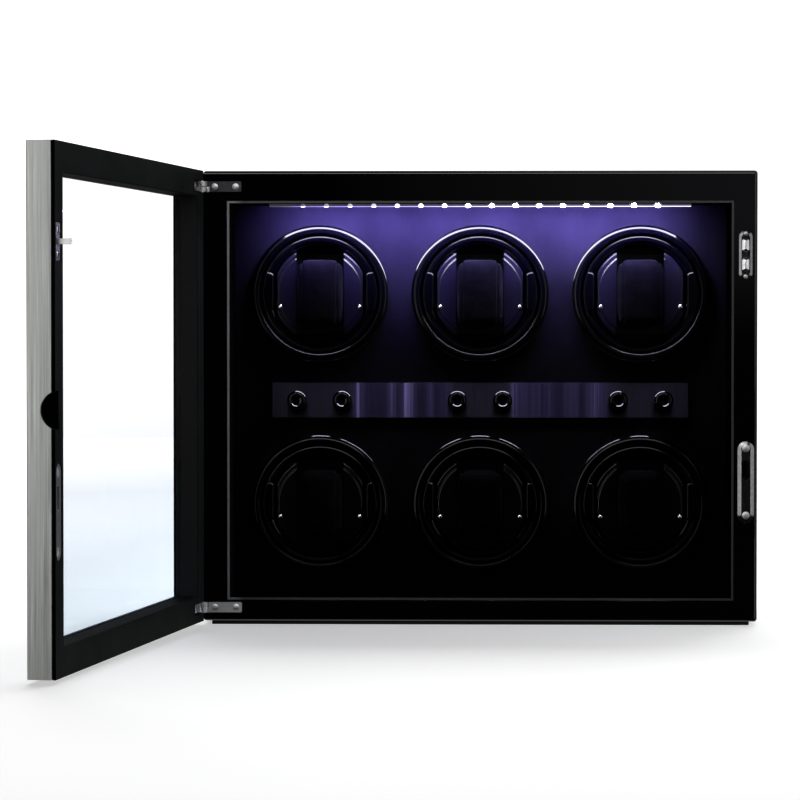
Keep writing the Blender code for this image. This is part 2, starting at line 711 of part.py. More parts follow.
def make_catch_tongue(pivot, lining):
    x = CATCH_X + HALF_WIDTH
    plate_size = (TONGUE_PLATE_WIDTH, PLATE, TONGUE_PLATE_HEIGHT)
    centre = (x, DOOR_FACE - PLATE / 2, CATCH_Z)
    tongue_plate = middle_box("catch_tongue", CHROME, centre, plate_size, pivot)
    tongue = box(
        "tongue_blade",
        None,
        (x - TONGUE_WIDTH / 2, DOOR_FACE - PLATE / 2, CATCH_Z - TONGUE_HEIGHT / 2),
        (x + TONGUE_WIDTH / 2, DOOR_FACE + TONGUE_LENGTH, CATCH_Z + TONGUE_HEIGHT / 2),
        pivot,
    )
    join(tongue_plate, tongue)
    recess = middle_box(
        "tongue_recess",
        None,
        (x, DOOR_FACE, CATCH_Z),
        (TONGUE_PLATE_WIDTH + 2 * GAP, 2 * (PLATE + GAP), TONGUE_PLATE_HEIGHT + 2 * GAP),
        pivot,
    )
    cut(lining, recess)


def make_door_lock(pivot, frame, lining):
    """Lock case let into the door's stile, with a hook that swings out of its slot."""
    x = LOCK_X + HALF_WIDTH
    plate_outline = stadium(LOCK_PLATE_WIDTH, LOCK_PLATE_HEIGHT)
    face = DOOR_FACE
    lock = prism(
        "lock_case", CHROME, plate_outline, (x, LOCK_Z), face - PLATE, face, pivot
    )
    body = box(
        "lock_body",
        None,
        (x - LOCK_BODY_WIDTH / 2, face - LOCK_BODY_DEPTH, LOCK_Z - LOCK_BODY_HEIGHT / 2),
        (x + LOCK_BODY_WIDTH / 2, face - PLATE / 2, LOCK_Z + LOCK_BODY_HEIGHT / 2),
        pivot,
    )
    barrel_z = LOCK_Z - KEY_BARREL_DROP / 2
    barrel = rod(
        "key_barrel",
        None,
        (x, (face + DOOR_FRONT - KEY_SET_BACK) / 2, barrel_z),
        KEY_BARREL,
        face - DOOR_FRONT - KEY_SET_BACK,
        "Y",
        COARSE,
        pivot,
    )
    join(lock, body, barrel)
    hollow = middle_box(
        "lock_hollow",
        None,
        (x, face, SLOT_Z),
        (LOCK_SLOT_WIDTH, 2 * (LOCK_BODY_DEPTH - 0.001), LOCK_SLOT_HEIGHT),
        pivot,
    )
    pivot_y = face - HOOK_PIVOT_DEPTH
    pin_room = rod(
        "hook_pin_room",
        None,
        (x, pivot_y, HOOK_PIVOT_Z),
        HOOK_PIN + GAP,
        HOOK_PIN_LENGTH + 2 * GAP,
        "X",
        SMALL,
        pivot,
    )
    cut(lock, hollow, pin_room)

    recess = prism(
        "lock_recess",
        None,
        stadium(LOCK_PLATE_WIDTH + 2 * GAP, LOCK_PLATE_HEIGHT + 2 * GAP),
        (x, LOCK_Z),
        face - PLATE - GAP,
        face + PAST,
        pivot,
    )
    room = box(
        "lock_room",
        None,
        (
            x - LOCK_BODY_WIDTH / 2 - GAP,
            face - LOCK_BODY_DEPTH - GAP,
            LOCK_Z - LOCK_BODY_HEIGHT / 2 - GAP,
        ),
        (x + LOCK_BODY_WIDTH / 2 + GAP, face + PAST, LOCK_Z + LOCK_BODY_HEIGHT / 2 + GAP),
        pivot,
    )
    barrel_room = rod(
        "barrel_room", None, (x, face, barrel_z), KEY_BARREL + GAP, 0.06, "Y", COARSE, pivot
    )
    cut(lining, recess, room, barrel_room)
    cut(frame, barrel_room)

    half_arm = HOOK_ARM / 2
    tip_z = HOOK_PIVOT_Z + HOOK_REACH
    hook = box(
        "lock_hook",
        MOTOR_STEEL,
        (x - HOOK_THICKNESS / 2, pivot_y - half_arm, HOOK_PIVOT_Z - half_arm),
        (x + HOOK_THICKNESS / 2, pivot_y + half_arm, tip_z),
        pivot,
    )
    nose = box(
        "hook_nose",
        None,
        (x - HOOK_THICKNESS / 2, pivot_y - half_arm - HOOK_NOSE_REACH, tip_z - HOOK_NOSE_HEIGHT),
        (x + HOOK_THICKNESS / 2, pivot_y, tip_z),
        pivot,
    )
    pin = rod(
        "hook_pin",
        None,
        (x, pivot_y, HOOK_PIVOT_Z),
        HOOK_PIN,
        HOOK_PIN_LENGTH,
        "X",
        SMALL,
        pivot,
    )
    join(hook, nose, pin)


# ---------------------------------------------------------------- catch and strike on the case


def jaw_outline(side):
    """A jaw with both ends sloped to a blunt nose. side is 1 above the tongue and -1 below it."""
    half, nose, slope = JAW_WIDTH / 2, JAW_WIDTH / 5, JAW_NOSE
    near, far = side * JAW_NEAR, side * JAW_FAR
    right = [(nose, near), (half, near + side * slope), (half, far - side * slope), (nose, far)]
    return right + [(-x, h) for x, h in reversed(right)]


def make_case_hardware():
    catch = prism(
        "catch_body",
        CHROME,
        stadium(CATCH_PLATE_WIDTH, CATCH_PLATE_HEIGHT, 4),
        (CATCH_X, CATCH_Z),
        FRONT_Y,
        FRONT_Y + PLATE,
    )
    body = box(
        "catch_box",
        None,
        (CATCH_X - CATCH_BODY_WIDTH / 2, FRONT_Y + PLATE / 2, CATCH_Z - CATCH_BODY_HEIGHT / 2),
        (CATCH_X + CATCH_BODY_WIDTH / 2, FRONT_Y + CATCH_DEPTH, CATCH_Z + CATCH_BODY_HEIGHT / 2),
    )
    join(catch, body)
    pocket = middle_box(
        "catch_pocket",
        None,
        (CATCH_X, FRONT_Y, CATCH_Z),
        (CATCH_POCKET_WIDTH, 2 * CATCH_POCKET_DEPTH, CATCH_POCKET_HEIGHT),
    )
    cut(catch, pocket)
    for side, name in ((1, "catch_jaw_upper"), (-1, "catch_jaw_lower")):
        prism(
            name, CHROME, jaw_outline(side), (CATCH_X, CATCH_Z), FRONT_Y, FRONT_Y + JAW_DEPTH
        )

    strike = prism(
        "lock_strike_plate",
        CHROME,
        stadium(LOCK_PLATE_WIDTH, LOCK_PLATE_HEIGHT),
        (LOCK_X, LOCK_Z),
        FRONT_Y,
        FRONT_Y + PLATE,
    )
    slot = middle_box(
        "strike_slot",
        None,
        (LOCK_X, FRONT_Y, SLOT_Z),
        (LOCK_SLOT_WIDTH, 0.02, LOCK_SLOT_HEIGHT),
    )
    cut(strike, slot)


# ---------------------------------------------------------------- the whole object

make_case()
make_liner_and_back()
make_facia()
for knob in knobs():
    make_knob(*knob)
for rotor in rotors():
    make_rotor(*rotor)
make_door()
make_case_hardware()
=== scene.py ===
"""The watch winder box's looks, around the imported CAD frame. Metres, +Z up, the open front faces -Y."""

import math

import bmesh
import bpy
import numpy as np
from mathutils import Matrix, Vector, noise
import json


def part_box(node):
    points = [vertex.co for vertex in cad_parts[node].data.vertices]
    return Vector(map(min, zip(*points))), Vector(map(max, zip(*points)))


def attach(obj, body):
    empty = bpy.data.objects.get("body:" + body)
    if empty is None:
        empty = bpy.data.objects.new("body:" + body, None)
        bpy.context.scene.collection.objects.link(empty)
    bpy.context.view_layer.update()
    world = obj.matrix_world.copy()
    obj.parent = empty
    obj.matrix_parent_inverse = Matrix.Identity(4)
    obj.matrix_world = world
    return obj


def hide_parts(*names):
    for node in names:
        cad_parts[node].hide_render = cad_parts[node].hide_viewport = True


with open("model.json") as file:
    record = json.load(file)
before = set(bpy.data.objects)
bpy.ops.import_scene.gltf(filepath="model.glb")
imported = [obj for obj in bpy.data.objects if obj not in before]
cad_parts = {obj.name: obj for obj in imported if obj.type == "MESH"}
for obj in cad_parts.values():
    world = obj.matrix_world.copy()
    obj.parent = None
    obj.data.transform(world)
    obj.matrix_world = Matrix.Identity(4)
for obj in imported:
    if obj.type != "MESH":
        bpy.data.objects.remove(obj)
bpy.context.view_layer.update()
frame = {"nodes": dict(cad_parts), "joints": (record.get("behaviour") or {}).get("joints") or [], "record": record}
scene = bpy.context.scene

# ---------------------------------------------------------------- places, from the frame

case_low, case_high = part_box("cabinet_case")
liner_low, liner_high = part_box("interior_liner")
facia_low, facia_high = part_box("facia_panel")
strip_low, strip_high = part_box("control_strip")
bar_low, bar_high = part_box("led_bar")
pad_low, pad_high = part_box("base_pad")
front_y, back_y, facia_y = case_low.y, case_high.y, facia_low.y
middle_z = (case_low.z + case_high.z) / 2
door_width, door_height = case_high.x - case_low.x, case_high.z - case_low.z
gap = pad_low.z + case_low.z - pad_high.z  # between touching pieces, all over the CAD
joints = {j["name"]: j for j in frame["joints"]}

hinge_x, hinge_y = joints["door_hinge"]["pos_m"][:2]
opening = math.radians(joints["door_hinge"]["range_deg"][0])
# Door pieces are drawn closed: x from the hinge axis along the width, y from the axis, z in the world.
DOOR = Matrix.Translation((hinge_x, hinge_y, 0)) @ Matrix.Rotation(opening, 4, "Z")
door_face = hinge_y - front_y  # inner face, as far before the axis as the case is behind it

# The slot that the lock's hook goes into, from the record's openings, a little larger.
slot_box = next(o for o in frame["record"]["physics"]["openings"] if o["name"] == "strike_slot")["box_m"]
slot_play = Vector((0.0005, 0, 0.0005))
strike_low, strike_high = Vector(slot_box[0]) - slot_play, Vector(slot_box[1]) + slot_play

ROTORS = [f"{row}_{column}" for row in ("upper", "lower") for column in ("left", "centre", "right")]


def axis_of(joint):
    """A point on the joint's axis, at y = 0."""
    x, _, z = joints[joint]["pos_m"]
    return Vector((x, 0, z))


def rotor_axis(name):
    return axis_of(f"rotor_{name}_spin")


def knob_axis(name):
    return axis_of(f"knob_{name}_turn")


def middle(node):
    low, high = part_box(node)
    return (low + high) / 2


# ---------------------------------------------------------------- driving dimensions of the looks

EDGE = 0.0002  # a small rounded edge
LINING_LIP, FRAME_EDGE, SHEET, MEMBER = 0.0017, 0.0165, 0.0020, 0.020
PLATE, KNUCKLE, LOCK_SLOT = 0.0012, 0.0030, (0.0056, 0.0150)
LINING_PROUD = 0.00045  # the lining's soft face fills most of the gap to the closed case
SEAT, LOW_RISE = 0.0006, 0.0004  # screws where the closed door meets the case
MOST_STUFFING = 0.0030  # how far the cloth may leave its start
PAST = 0.01  # how far a cutter runs past what it cuts
ENDS = (("lower", -1), ("upper", 1))
LED_COUNT, LED_PITCH, LED_RADIUS = 16, 0.018, 0.0015
VIOLET = (0.26, 0.20, 1.0)


# ---------------------------------------------------------------- materials


class Nodes:
    """A node tree, with short ways to make and join its nodes."""

    def __init__(self, tree):
        self.tree = tree

    def feed(self, target, value):
        """Gives a socket a number, a colour or another node's output."""
        if isinstance(value, bpy.types.NodeSocket):
            self.tree.links.new(value, target)
        else:
            wide = isinstance(value, tuple) and len(value) == 3 and target.type == "RGBA"
            target.default_value = (*value, 1) if wide else value

    def node(self, kind, result, **inputs):
        made = self.tree.nodes.new("ShaderNode" + kind)
        for name, value in inputs.items():
            self.feed(made.inputs[name.replace("_", " ")], value)
        return made.outputs[result]

    def math(self, operation, *values):
        made = self.tree.nodes.new("ShaderNodeMath")
        made.operation = operation
        for target, value in zip(made.inputs, values):
            self.feed(target, value)
        return made.outputs["Value"]

    def ramp(self, source, *stops):
        """Stops are (place, value), where a value is a number or a colour."""
        made = self.tree.nodes.new("ShaderNodeValToRGB")
        elements = made.color_ramp.elements
        while len(elements) < len(stops):
            elements.new(0.5)
        for element, (place, value) in zip(elements, stops):
            element.position = place
            element.color = (*value, 1) if isinstance(value, tuple) else (value, value, value, 1)
        self.feed(made.inputs["Fac"], source)
        return made.outputs["Color"]

    def remap(self, source, low, high, start=0.0, end=1.0):
        """Low to high as the source goes from start to end."""
        span = dict(From_Min=start, From_Max=end, To_Min=low, To_Max=high)
        return self.node("MapRange", "Result", Value=source, **span)

    def either(self, factor, first, second):
        """The first shader where factor is 0 and the second where it is 1."""
        made = self.tree.nodes.new("ShaderNodeMixShader")
        for target, value in zip(made.inputs, (factor, first, second)):
            self.feed(target, value)
        return made.outputs["Shader"]


class Finish(Nodes):
    """A material built from nodes. Constant values sit on the shader's own sockets."""

    def __init__(self, name, **values):
        self.material = bpy.data.materials.new(name)
        self.material.use_nodes = True
        super().__init__(self.material.node_tree)
        self.shader = self.tree.nodes["Principled BSDF"]
        for socket, value in values.items():
            self.set(socket.replace("_", " "), value)
        self.place = self.tree.nodes.new("ShaderNodeTexCoord").outputs["Object"]

    def set(self, socket, value):
        self.feed(self.shader.inputs[socket], value)

    def noise(self, scale, detail=3.0, stretch=(1, 1, 1), roughness=0.55):
        place = self.node("Mapping", "Vector", Vector=self.place, Scale=stretch)
        values = dict(Scale=scale, Detail=detail, Roughness=roughness)
        return self.node("TexNoise", "Fac", Vector=place, **values)

    def axis(self, letter):
        return self.node("SeparateXYZ", letter, Vector=self.place)

    def mix(self, factor, a, b, blend="MIX"):
        """Colour a where factor is 0, and b, or a times b, where it is 1."""
        made = self.tree.nodes.new("ShaderNodeMix")
        made.data_type, made.blend_type = "RGBA", blend
        self.feed(made.inputs["Factor"], factor)
        for target, value in zip([s for s in made.inputs if s.type == "RGBA"], (a, b)):
            self.feed(target, value)
        return next(s for s in made.outputs if s.type == "RGBA")

    def tone(self, source, dark, light, low=0.3, high=0.7):
        """Base colour that follows a noise."""
        self.set("Base Color", self.ramp(source, (low, dark), (high, light)))

    def bump(self, height, strength, distance):
        self.set("Normal", self.node("Bump", "Normal", Height=height, Strength=strength, Distance=distance))


def grained(name, dark, light, grain, relief, depth, rough=None, **values):
    """A finish whose colour, height and roughness each follow a noise. relief None follows the colour's."""
    made = Finish(name, **values)
    cloud = made.noise(*grain)
    made.tone(cloud, dark, light)
    if rough:
        made.set("Roughness", made.remap(made.noise(*rough[0]), *rough[1]))
    made.bump(made.noise(*relief) if relief else cloud, *depth)
    return made.material


def satin_black(name, specular):
    """Fine sprayed texture on the door's inner lining."""
    colours = (0.006, 0.0068, 0.0068), (0.010, 0.011, 0.011)
    rough = (90, 4), (0.48, 0.62)
    values = dict(IOR=1.45, Specular_IOR_Level=specular)
    return grained(name, *colours, (22, 4), (2600, 2), (0.16, 0.0002), rough, **values)


def gloss_plastic(name, dark, light, rough, coat=0.3, specular=0.5):
    """Moulded gloss plastic with faint flow marks and fine scratches."""
    values = dict(Coat_Weight=coat, Coat_Roughness=0.05, IOR=1.46, Specular_IOR_Level=specular)
    rough = (240, 4), rough
    return grained(name, dark, light, (45, 4, (1, 1, 0.35)), (500, 2), (0.03, 0.0002), rough, **values)


def plated(name, dark, light, rough):
    """Plated metal with faint clouding and hairlines."""
    rough = (700, 3, (1, 1, 0.15)), rough
    return grained(name, dark, light, (320, 4), (1500, 2), (0.04, 0.0001), rough, Metallic=1.0)


def brushed(name, along):
    """Grey metal brushed along one axis: fine streaks in colour, roughness and height."""
    made = Finish(name, Metallic=1.0, Anisotropic=0.5)
    stretch = tuple(0.008 if letter == along else 1.0 for letter in "XYZ")
    streak = made.noise(1100, 6, stretch, 0.75)
    band = made.remap(made.noise(60, 3, stretch, 0.5), 0.0, 0.25)
    both = made.math("MULTIPLY_ADD", streak, 0.75, band)
    made.tone(both, (0.34, 0.35, 0.335), (0.66, 0.675, 0.65), 0.36, 0.64)
    made.set("Roughness", made.remap(streak, 0.44, 0.30, 0.3, 0.7))
    made.bump(streak, 0.12, 0.0002)
    return made.material


def dark_strip():
    """Dark metal brushed upright, with a painted violet reflection of the LED bar in bands between the pairs of
    knobs.
    """
    made = Finish("dark_brushed_strip", Metallic=1.0, Anisotropic=0.9)
    stretch = (1.0, 1.0, 0.008)
    fine, broad = made.noise(1300, 6, stretch, 0.75), made.noise(150, 4, stretch, 0.6)
    quiet = made.ramp(fine, (0.32, (0.006, 0.0055, 0.008)), (0.70, (0.015, 0.014, 0.020)))
    # painted reflection: violet streak colours that stand in for the LED bar's light reflected between the rotors,
    # shown only in bands between the pairs of knobs
    streaks = (0.36, (0.010, 0.009, 0.019)), (0.56, (0.024, 0.020, 0.045)), (0.72, (0.105, 0.09, 0.185))
    painted_reflection = made.mix(1.0, made.ramp(broad, *streaks), made.ramp(fine, (0.32, 0.6), (0.70, 1.0)), "MULTIPLY")
    side = made.remap(made.math("ABSOLUTE", made.axis("X")), 0.0, 1.0, 0.0, 0.125)
    reflection_zone = made.ramp(side, (0.16, 0.0), (0.22, 1.0), (0.76, 1.0), (0.84, 0.0))
    made.set("Base Color", made.mix(reflection_zone, quiet, painted_reflection))
    made.set("Roughness", made.remap(fine, 0.56, 0.46, 0.3, 0.7))
    made.bump(fine, 0.12, 0.0002)
    tangent = made.tree.nodes.new("ShaderNodeTangent")
    tangent.direction_type, tangent.axis = "RADIAL", "Z"
    made.set("Tangent", tangent.outputs["Tangent"])
    made.set("Anisotropic Rotation", 0.25)
    return made.material


def napped(name, colours, patch, nap, floor, strength, **values):
    """Short-nap fabric: soft patches of brushed nap, and fibres that darken and lift it."""
    made = Finish(name, Roughness=0.9, Specular_IOR_Level=0.01, **values)
    fibres = made.noise(nap, 3)
    cloud = made.ramp(made.noise(*patch), *colours)
    shade = made.ramp(fibres, (0.25, floor), (0.75, 1.0))
    made.set("Base Color", made.mix(1.0, cloud, shade, "MULTIPLY"))
    made.bump(fibres, strength, 0.0004)
    return made.material


def facia_cloth():
    colours = (0.30, (0.040, 0.038, 0.044)), (0.72, (0.070, 0.067, 0.076))
    return napped("facia_cloth", colours, (26, 5, (1, 1, 0.6)), 2200, 0.55, 0.35)


def suede():
    colours = (0.32, (0.013, 0.012, 0.016)), (0.70, (0.030, 0.028, 0.034))
    sheen = dict(Sheen_Weight=0.02, Sheen_Roughness=0.35, Sheen_Tint=(0.7, 0.68, 0.9))
    return napped("cushion_suede", colours, (70, 5), 2600, 0.5, 0.4, **sheen)


def liner_sheet():
    """Dark sheet whose cut front edge is uncoated metal, with a painted highlight that makes the edge paler along
    the left side.
    """
    made = Finish("liner_grey", Specular_IOR_Level=0.0)
    edge = made.remap(made.axis("Y"), 1.0, 0.0, liner_low.y + 0.0001, liner_low.y + 0.0004)
    speck = made.noise(900, 3)
    dark = made.ramp(speck, (0.3, (0.002, 0.002, 0.0025)), (0.7, (0.004, 0.004, 0.0045)))
    # painted highlight: the metal edge is paler along the left side than elsewhere
    side = made.remap(made.axis("X"), 0.0, 1.0, liner_low.x + 0.004, liner_low.x + 0.012)
    painted_highlight = made.ramp(speck, (0.3, (0.22, 0.22, 0.235)), (0.7, (0.30, 0.30, 0.32)))
    plain = made.ramp(speck, (0.3, (0.070, 0.070, 0.074)), (0.7, (0.110, 0.110, 0.116)))
    made.set("Base Color", made.mix(edge, dark, made.mix(side, painted_highlight, plain)))
    made.set("Metallic", edge)
    made.set("Roughness", made.remap(edge, 0.85, 0.42))
    made.bump(speck, 0.15, 0.0002)
    return made.material


def circuit_board():
    """Solder mask over copper tracks."""
    made = Finish("circuit_board", Roughness=0.35)
    place = made.node("Mapping", "Vector", Vector=made.place, Scale=(90,) * 3)
    track = made.node("TexBrick", "Fac", Vector=place)
    mask = made.ramp(made.noise(300, 3), (0.3, (0.008, 0.07, 0.03)), (0.7, (0.012, 0.10, 0.045)))
    made.set("Base Color", made.mix(track, mask, (0.03, 0.2, 0.09)))
    made.bump(track, 0.2, 0.0002)
    return made.material


def along_bar(made):
    return made.remap(made.axis("X"), 0.0, 1.0, bar_low.x, bar_high.x)


def led_strip():
    """White strip whose underside glows, and whose front edge glows a little."""
    made = Finish("led_strip", Roughness=0.4, Emission_Strength=14.0)
    made.tone(made.noise(500, 3), (0.30, 0.30, 0.34), (0.40, 0.40, 0.44))
    under = made.remap(made.axis("Z"), 1.0, 0.0, bar_low.z, bar_low.z + 0.0002)
    edge = (0.0, (0.0016, 0.0015, 0.0022)), (0.7, (0.004, 0.0036, 0.006))
    glow = (0.0, (0.008, 0.0075, 0.012)), (0.3, (0.05, 0.047, 0.062)), (0.6, (0.15, 0.145, 0.17))
    along = along_bar(made)
    made.set("Emission Color", made.mix(under, made.ramp(along, *edge), made.ramp(along, *glow)))
    return made.material


def led_lamp():
    """Clear lamp lens, lit from inside, with the lamps towards the right a little hotter."""
    made = Finish("led_lamp", Roughness=0.2, Emission_Strength=60.0)
    made.tone(made.noise(900, 2), (0.8, 0.8, 0.9), (0.95, 0.95, 1.0))
    heat = (0.08, (0.002, 0.0018, 0.003)), (0.28, (0.015, 0.014, 0.018))
    heat += (0.42, (0.08, 0.076, 0.09)), (0.55, (0.8, 0.76, 1.0))
    made.set("Emission Color", made.ramp(along_bar(made), *heat))
    return made.material


def clear_glass():
    """Thin clear pane: see-through, glossy at a low angle, with a painted pale blue reflection low down in its
    see-through colour.
    """
    made = Finish("clear_glass")
    haze = made.noise(9, 3)
    # painted reflection: a bluish tint low on the pane that turns greyer higher up, in the see-through colour
    rise = made.remap(made.axis("Z"), 0.0, 1.0, 0.03, 0.19)
    stops = [(0.0, (0.850, 0.905, 0.950)), (0.25, (0.790, 0.828, 0.868)), (0.47, (0.812, 0.839, 0.870))]
    stops += [(0.69, (0.848, 0.853, 0.870)), (1.0, 0.90)]
    through = made.node("BsdfTransparent", "BSDF", Color=made.ramp(rise, *stops))
    fresnel = made.remap(made.node("Fresnel", "Fac", IOR=1.3), 0.0, 0.10)
    gloss = made.node("BsdfGlossy", "BSDF", Color=(1, 1, 1), Roughness=made.remap(haze, 0.0, 0.04))
    output = next(n for n in made.tree.nodes if n.type == "OUTPUT_MATERIAL")
    made.feed(output.inputs["Surface"], made.either(fresnel, through, gloss))
    made.tree.nodes.remove(made.shader)
    return made.material


LACQUER = grained(
    "gloss_black_lacquer", (0.0016, 0.0016, 0.0018), (0.003,) * 3, (14, 4), (700, 2), (0.03, 0.0003),
    ((60, 5), (0.02, 0.07)), Coat_Weight=1.0, Coat_Roughness=0.02, IOR=1.45,
)
BLURS = (0.06, 0.13)
SATIN, REVEAL = satin_black("satin_black", 0.006), satin_black("satin_black_reveal", 0.36)
STILE, RAIL = brushed("brushed_stile", "Z"), brushed("brushed_rail", "X")
STRIP, CLOTH, SUEDE, LINER = dark_strip(), facia_cloth(), suede(), liner_sheet()
ROTOR = gloss_plastic("rotor_gloss_black", (0.0035, 0.0035, 0.005), (0.006, 0.006, 0.009), BLURS, 0.0, 0.27)
WING = gloss_plastic("holder_gloss", (0.022, 0.021, 0.026), (0.034, 0.032, 0.040), (0.10, 0.16))
JACK = gloss_plastic("jack_plastic", (0.010,) * 3, (0.020,) * 3, (0.35, 0.5))
CHROME = plated("polished_nickel", (0.62, 0.62, 0.64), (0.84, 0.84, 0.86), (0.06, 0.2))
SCREW = plated("screw_nickel", (0.80, 0.80, 0.81), (0.95, 0.95, 0.95), (0.34, 0.44))
NICKEL = plated("dark_nickel", (0.20, 0.20, 0.21), (0.30, 0.30, 0.31), (0.12, 0.20))
SATIN_CHROME = plated("satin_nickel", (0.42, 0.42, 0.43), (0.58, 0.58, 0.59), (0.30, 0.42))
GUNMETAL = plated("gunmetal", (0.050, 0.050, 0.054), (0.080, 0.080, 0.086), (0.30, 0.42))
STEEL = plated("motor_steel", (0.38, 0.38, 0.37), (0.55, 0.55, 0.53), (0.25, 0.42))
RUBBER = grained("pad_rubber", (0.010,) * 3, (0.024,) * 3, (1100, 4), None, (0.4, 0.0003), Roughness=0.8)
FIBRES = (0.3, 0.0003)  # the relief of pressed fibres
BOARD = grained(
    "fibreboard", (0.11, 0.07, 0.04), (0.22, 0.155, 0.10), (420, 5, (1, 1, 0.3)), None, FIBRES, Roughness=0.85
)
BACK = grained(
    "painted_board", (0.007,) * 3, (0.014, 0.014, 0.015), (300, 5, (1, 1, 0.4)), None, FIBRES, Roughness=0.6
)
CIRCUIT, LED_STRIP, LED_LAMP, GLASS = circuit_board(), led_strip(), led_lamp(), clear_glass()


# ---------------------------------------------------------------- mesh tools


def put(name, form, finishes, body, matrix=None, nodes=(), angle=35):
    """Makes a shown piece of a bmesh: smooth, on its body, with its finish."""
    mesh = bpy.data.meshes.new(name)
    bmesh.ops.recalc_face_normals(form, faces=form.faces)
    form.to_mesh(mesh)
    form.free()
    for finish in finishes if isinstance(finishes, list) else [finishes]:
        mesh.materials.append(finish)
    mesh.shade_smooth()
    mesh.set_sharp_from_angle(angle=math.radians(angle))
    piece = bpy.data.objects.new(name, mesh)
    scene.collection.objects.link(piece)
    piece.modifiers.new("flat faces", "WEIGHTED_NORMAL").keep_sharp = True
    if matrix is not None:
        piece.matrix_world = matrix
    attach(piece, body)
    if nodes:
        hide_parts(*nodes)
    return piece


def bevel(form, edges, width, segments):
    style = dict(affect="EDGES", profile=0.5, clamp_overlap=True)
    bmesh.ops.bevel(form, geom=edges, offset=width, segments=segments, **style)


def box_form(low, high, rounding=0.0, segments=4):
    form = bmesh.new()
    bmesh.ops.create_cube(form, size=1.0)
    bmesh.ops.scale(form, vec=[b - a for a, b in zip(low, high)], verts=form.verts)
    bmesh.ops.translate(form, vec=[(a + b) / 2 for a, b in zip(low, high)], verts=form.verts)
    if rounding:
        bevel(form, list(form.edges), rounding, segments)
    return form


def about(centre, size):
    """The corners of a box about its centre."""
    low = [c - s / 2 for c, s in zip(centre, size)]
    return low, [a + s for a, s in zip(low, size)]


def fillet(points, radius, steps=4, closed=True):
    """A polyline with each corner turned into an arc. radius is one number, or one for each point."""
    count = len(points)
    radii = radius if isinstance(radius, (list, tuple)) else [radius] * count
    out = []
    for i, (point, r) in enumerate(zip(points, radii)):
        corner = Vector(point)
        if r <= 0 or (not closed and i in (0, count - 1)):
            out.append(tuple(corner))
            continue
        before = Vector(points[i - 1]) - corner
        after = Vector(points[(i + 1) % count]) - corner
        half = before.angle(after) / 2
        reach = min(r / math.tan(half), before.length * 0.49, after.length * 0.49)
        r = reach * math.tan(half)
        a, b = before.normalized(), after.normalized()
        centre = corner + (a + b).normalized() * (r / math.sin(half))
        start, end = corner + a * reach - centre, corner + b * reach - centre
        arms = [start.lerp(end, k / steps).normalized() * r for k in range(steps + 1)]
        out += [tuple(centre + arm) for arm in arms]
    return out


def turned_form(profile, sides=96, closed=False):
    """A turned solid about the Y axis. The profile is (radius, y)."""
    form = bmesh.new()
    turns = [2 * math.pi * i / sides for i in range(sides)]
    rings = []
    for radius, y in profile:
        spread = turns if radius > 1e-7 else turns[:1]
        rings.append([form.verts.new((radius * math.cos(a), y, radius * math.sin(a))) for a in spread])
    for first, second in list(zip(rings, rings[1:])) + ([(rings[-1], rings[0])] if closed else []):
        for i in range(sides):
            k = (i + 1) % sides
            loop = [first[i % len(first)], first[k % len(first)]]
            loop += [second[k % len(second)], second[i % len(second)]]
            loop = list(dict.fromkeys(loop))
            if len(loop) > 2:
                form.faces.new(loop)
    bmesh.ops.recalc_face_normals(form, faces=form.faces)
    return form


def stadium(width, height, steps=12):
    """The outline of a plate with round ends, longer in height."""
    radius, straight = width / 2, (height - width) / 2
    arc = [math.pi * i / steps for i in range(steps + 1)]
    top = [(radius * math.cos(a), straight + radius * math.sin(a)) for a in arc]
    return top + [(-x, -h) for x, h in top]


def plate_form(outline, front, back, centre=(0, 0), edge=0.0, segments=3):
    """A flat piece facing -Y, from its outline in x and z, with its front edge rounded."""
    form = bmesh.new()
    face = form.faces.new([form.verts.new((centre[0] + x, front, centre[1] + h)) for x, h in outline])
    bmesh.ops.recalc_face_normals(form, faces=form.faces)
    grown = bmesh.ops.extrude_face_region(form, geom=[face])
    moved = [v for v in grown["geom"] if isinstance(v, bmesh.types.BMVert)]
    bmesh.ops.translate(form, vec=(0, back - front, 0), verts=moved)
    bmesh.ops.recalc_face_normals(form, faces=form.faces)
    if edge:
        rim = [e for e in form.edges if all(abs(v.co.y - front) < 1e-7 for v in e.verts)]
        bevel(form, rim, edge, segments)
    return form


def stacked_form(rings, centre=(0, 0)):
    """A piece facing -Y through outlines in x and z at rising y, all with the same number of points."""
    form = bmesh.new()
    loops = [
        [form.verts.new((centre[0] + x, y, centre[1] + h)) for x, h in outline] for outline, y in rings
    ]
    count = len(loops[0])
    for first, second in zip(loops, loops[1:]):
        for i in range(count):
            k = (i + 1) % count
            form.faces.new((first[i], first[k], second[k], second[i]))
    form.faces.new(loops[0])
    form.faces.new(reversed(loops[-1]))
    bmesh.ops.recalc_face_normals(form, faces=form.faces)
    return form


def rimmed_plate(width, height, front, back, centre, rim, drop):
    """A plate with round ends and a wide sloped rim."""
    rings = [(-rim, front), (-rim + 0.0003, front + 0.00002), (-0.0003, front + drop - 0.0001)]
    rings += [(-0.00008, front + drop), (0, front + drop + 0.0001), (0, back)]
    return stacked_form([(stadium(width + 2 * g, height + 2 * g, 14), y) for g, y in rings], centre)


def rod_form(centre, radius, length, axis, sides=48):
    form = bmesh.new()
    ends = dict(radius1=radius, radius2=radius, depth=length)
    bmesh.ops.create_cone(form, cap_ends=True, segments=sides, **ends)
    turn = {"X": Matrix.Rotation(math.pi / 2, 4, "Y"), "Y": Matrix.Rotation(math.pi / 2, 4, "X")}
    bmesh.ops.transform(form, matrix=turn.get(axis, Matrix.Identity(4)), verts=form.verts)
    bmesh.ops.translate(form, vec=centre, verts=form.verts)
    return form


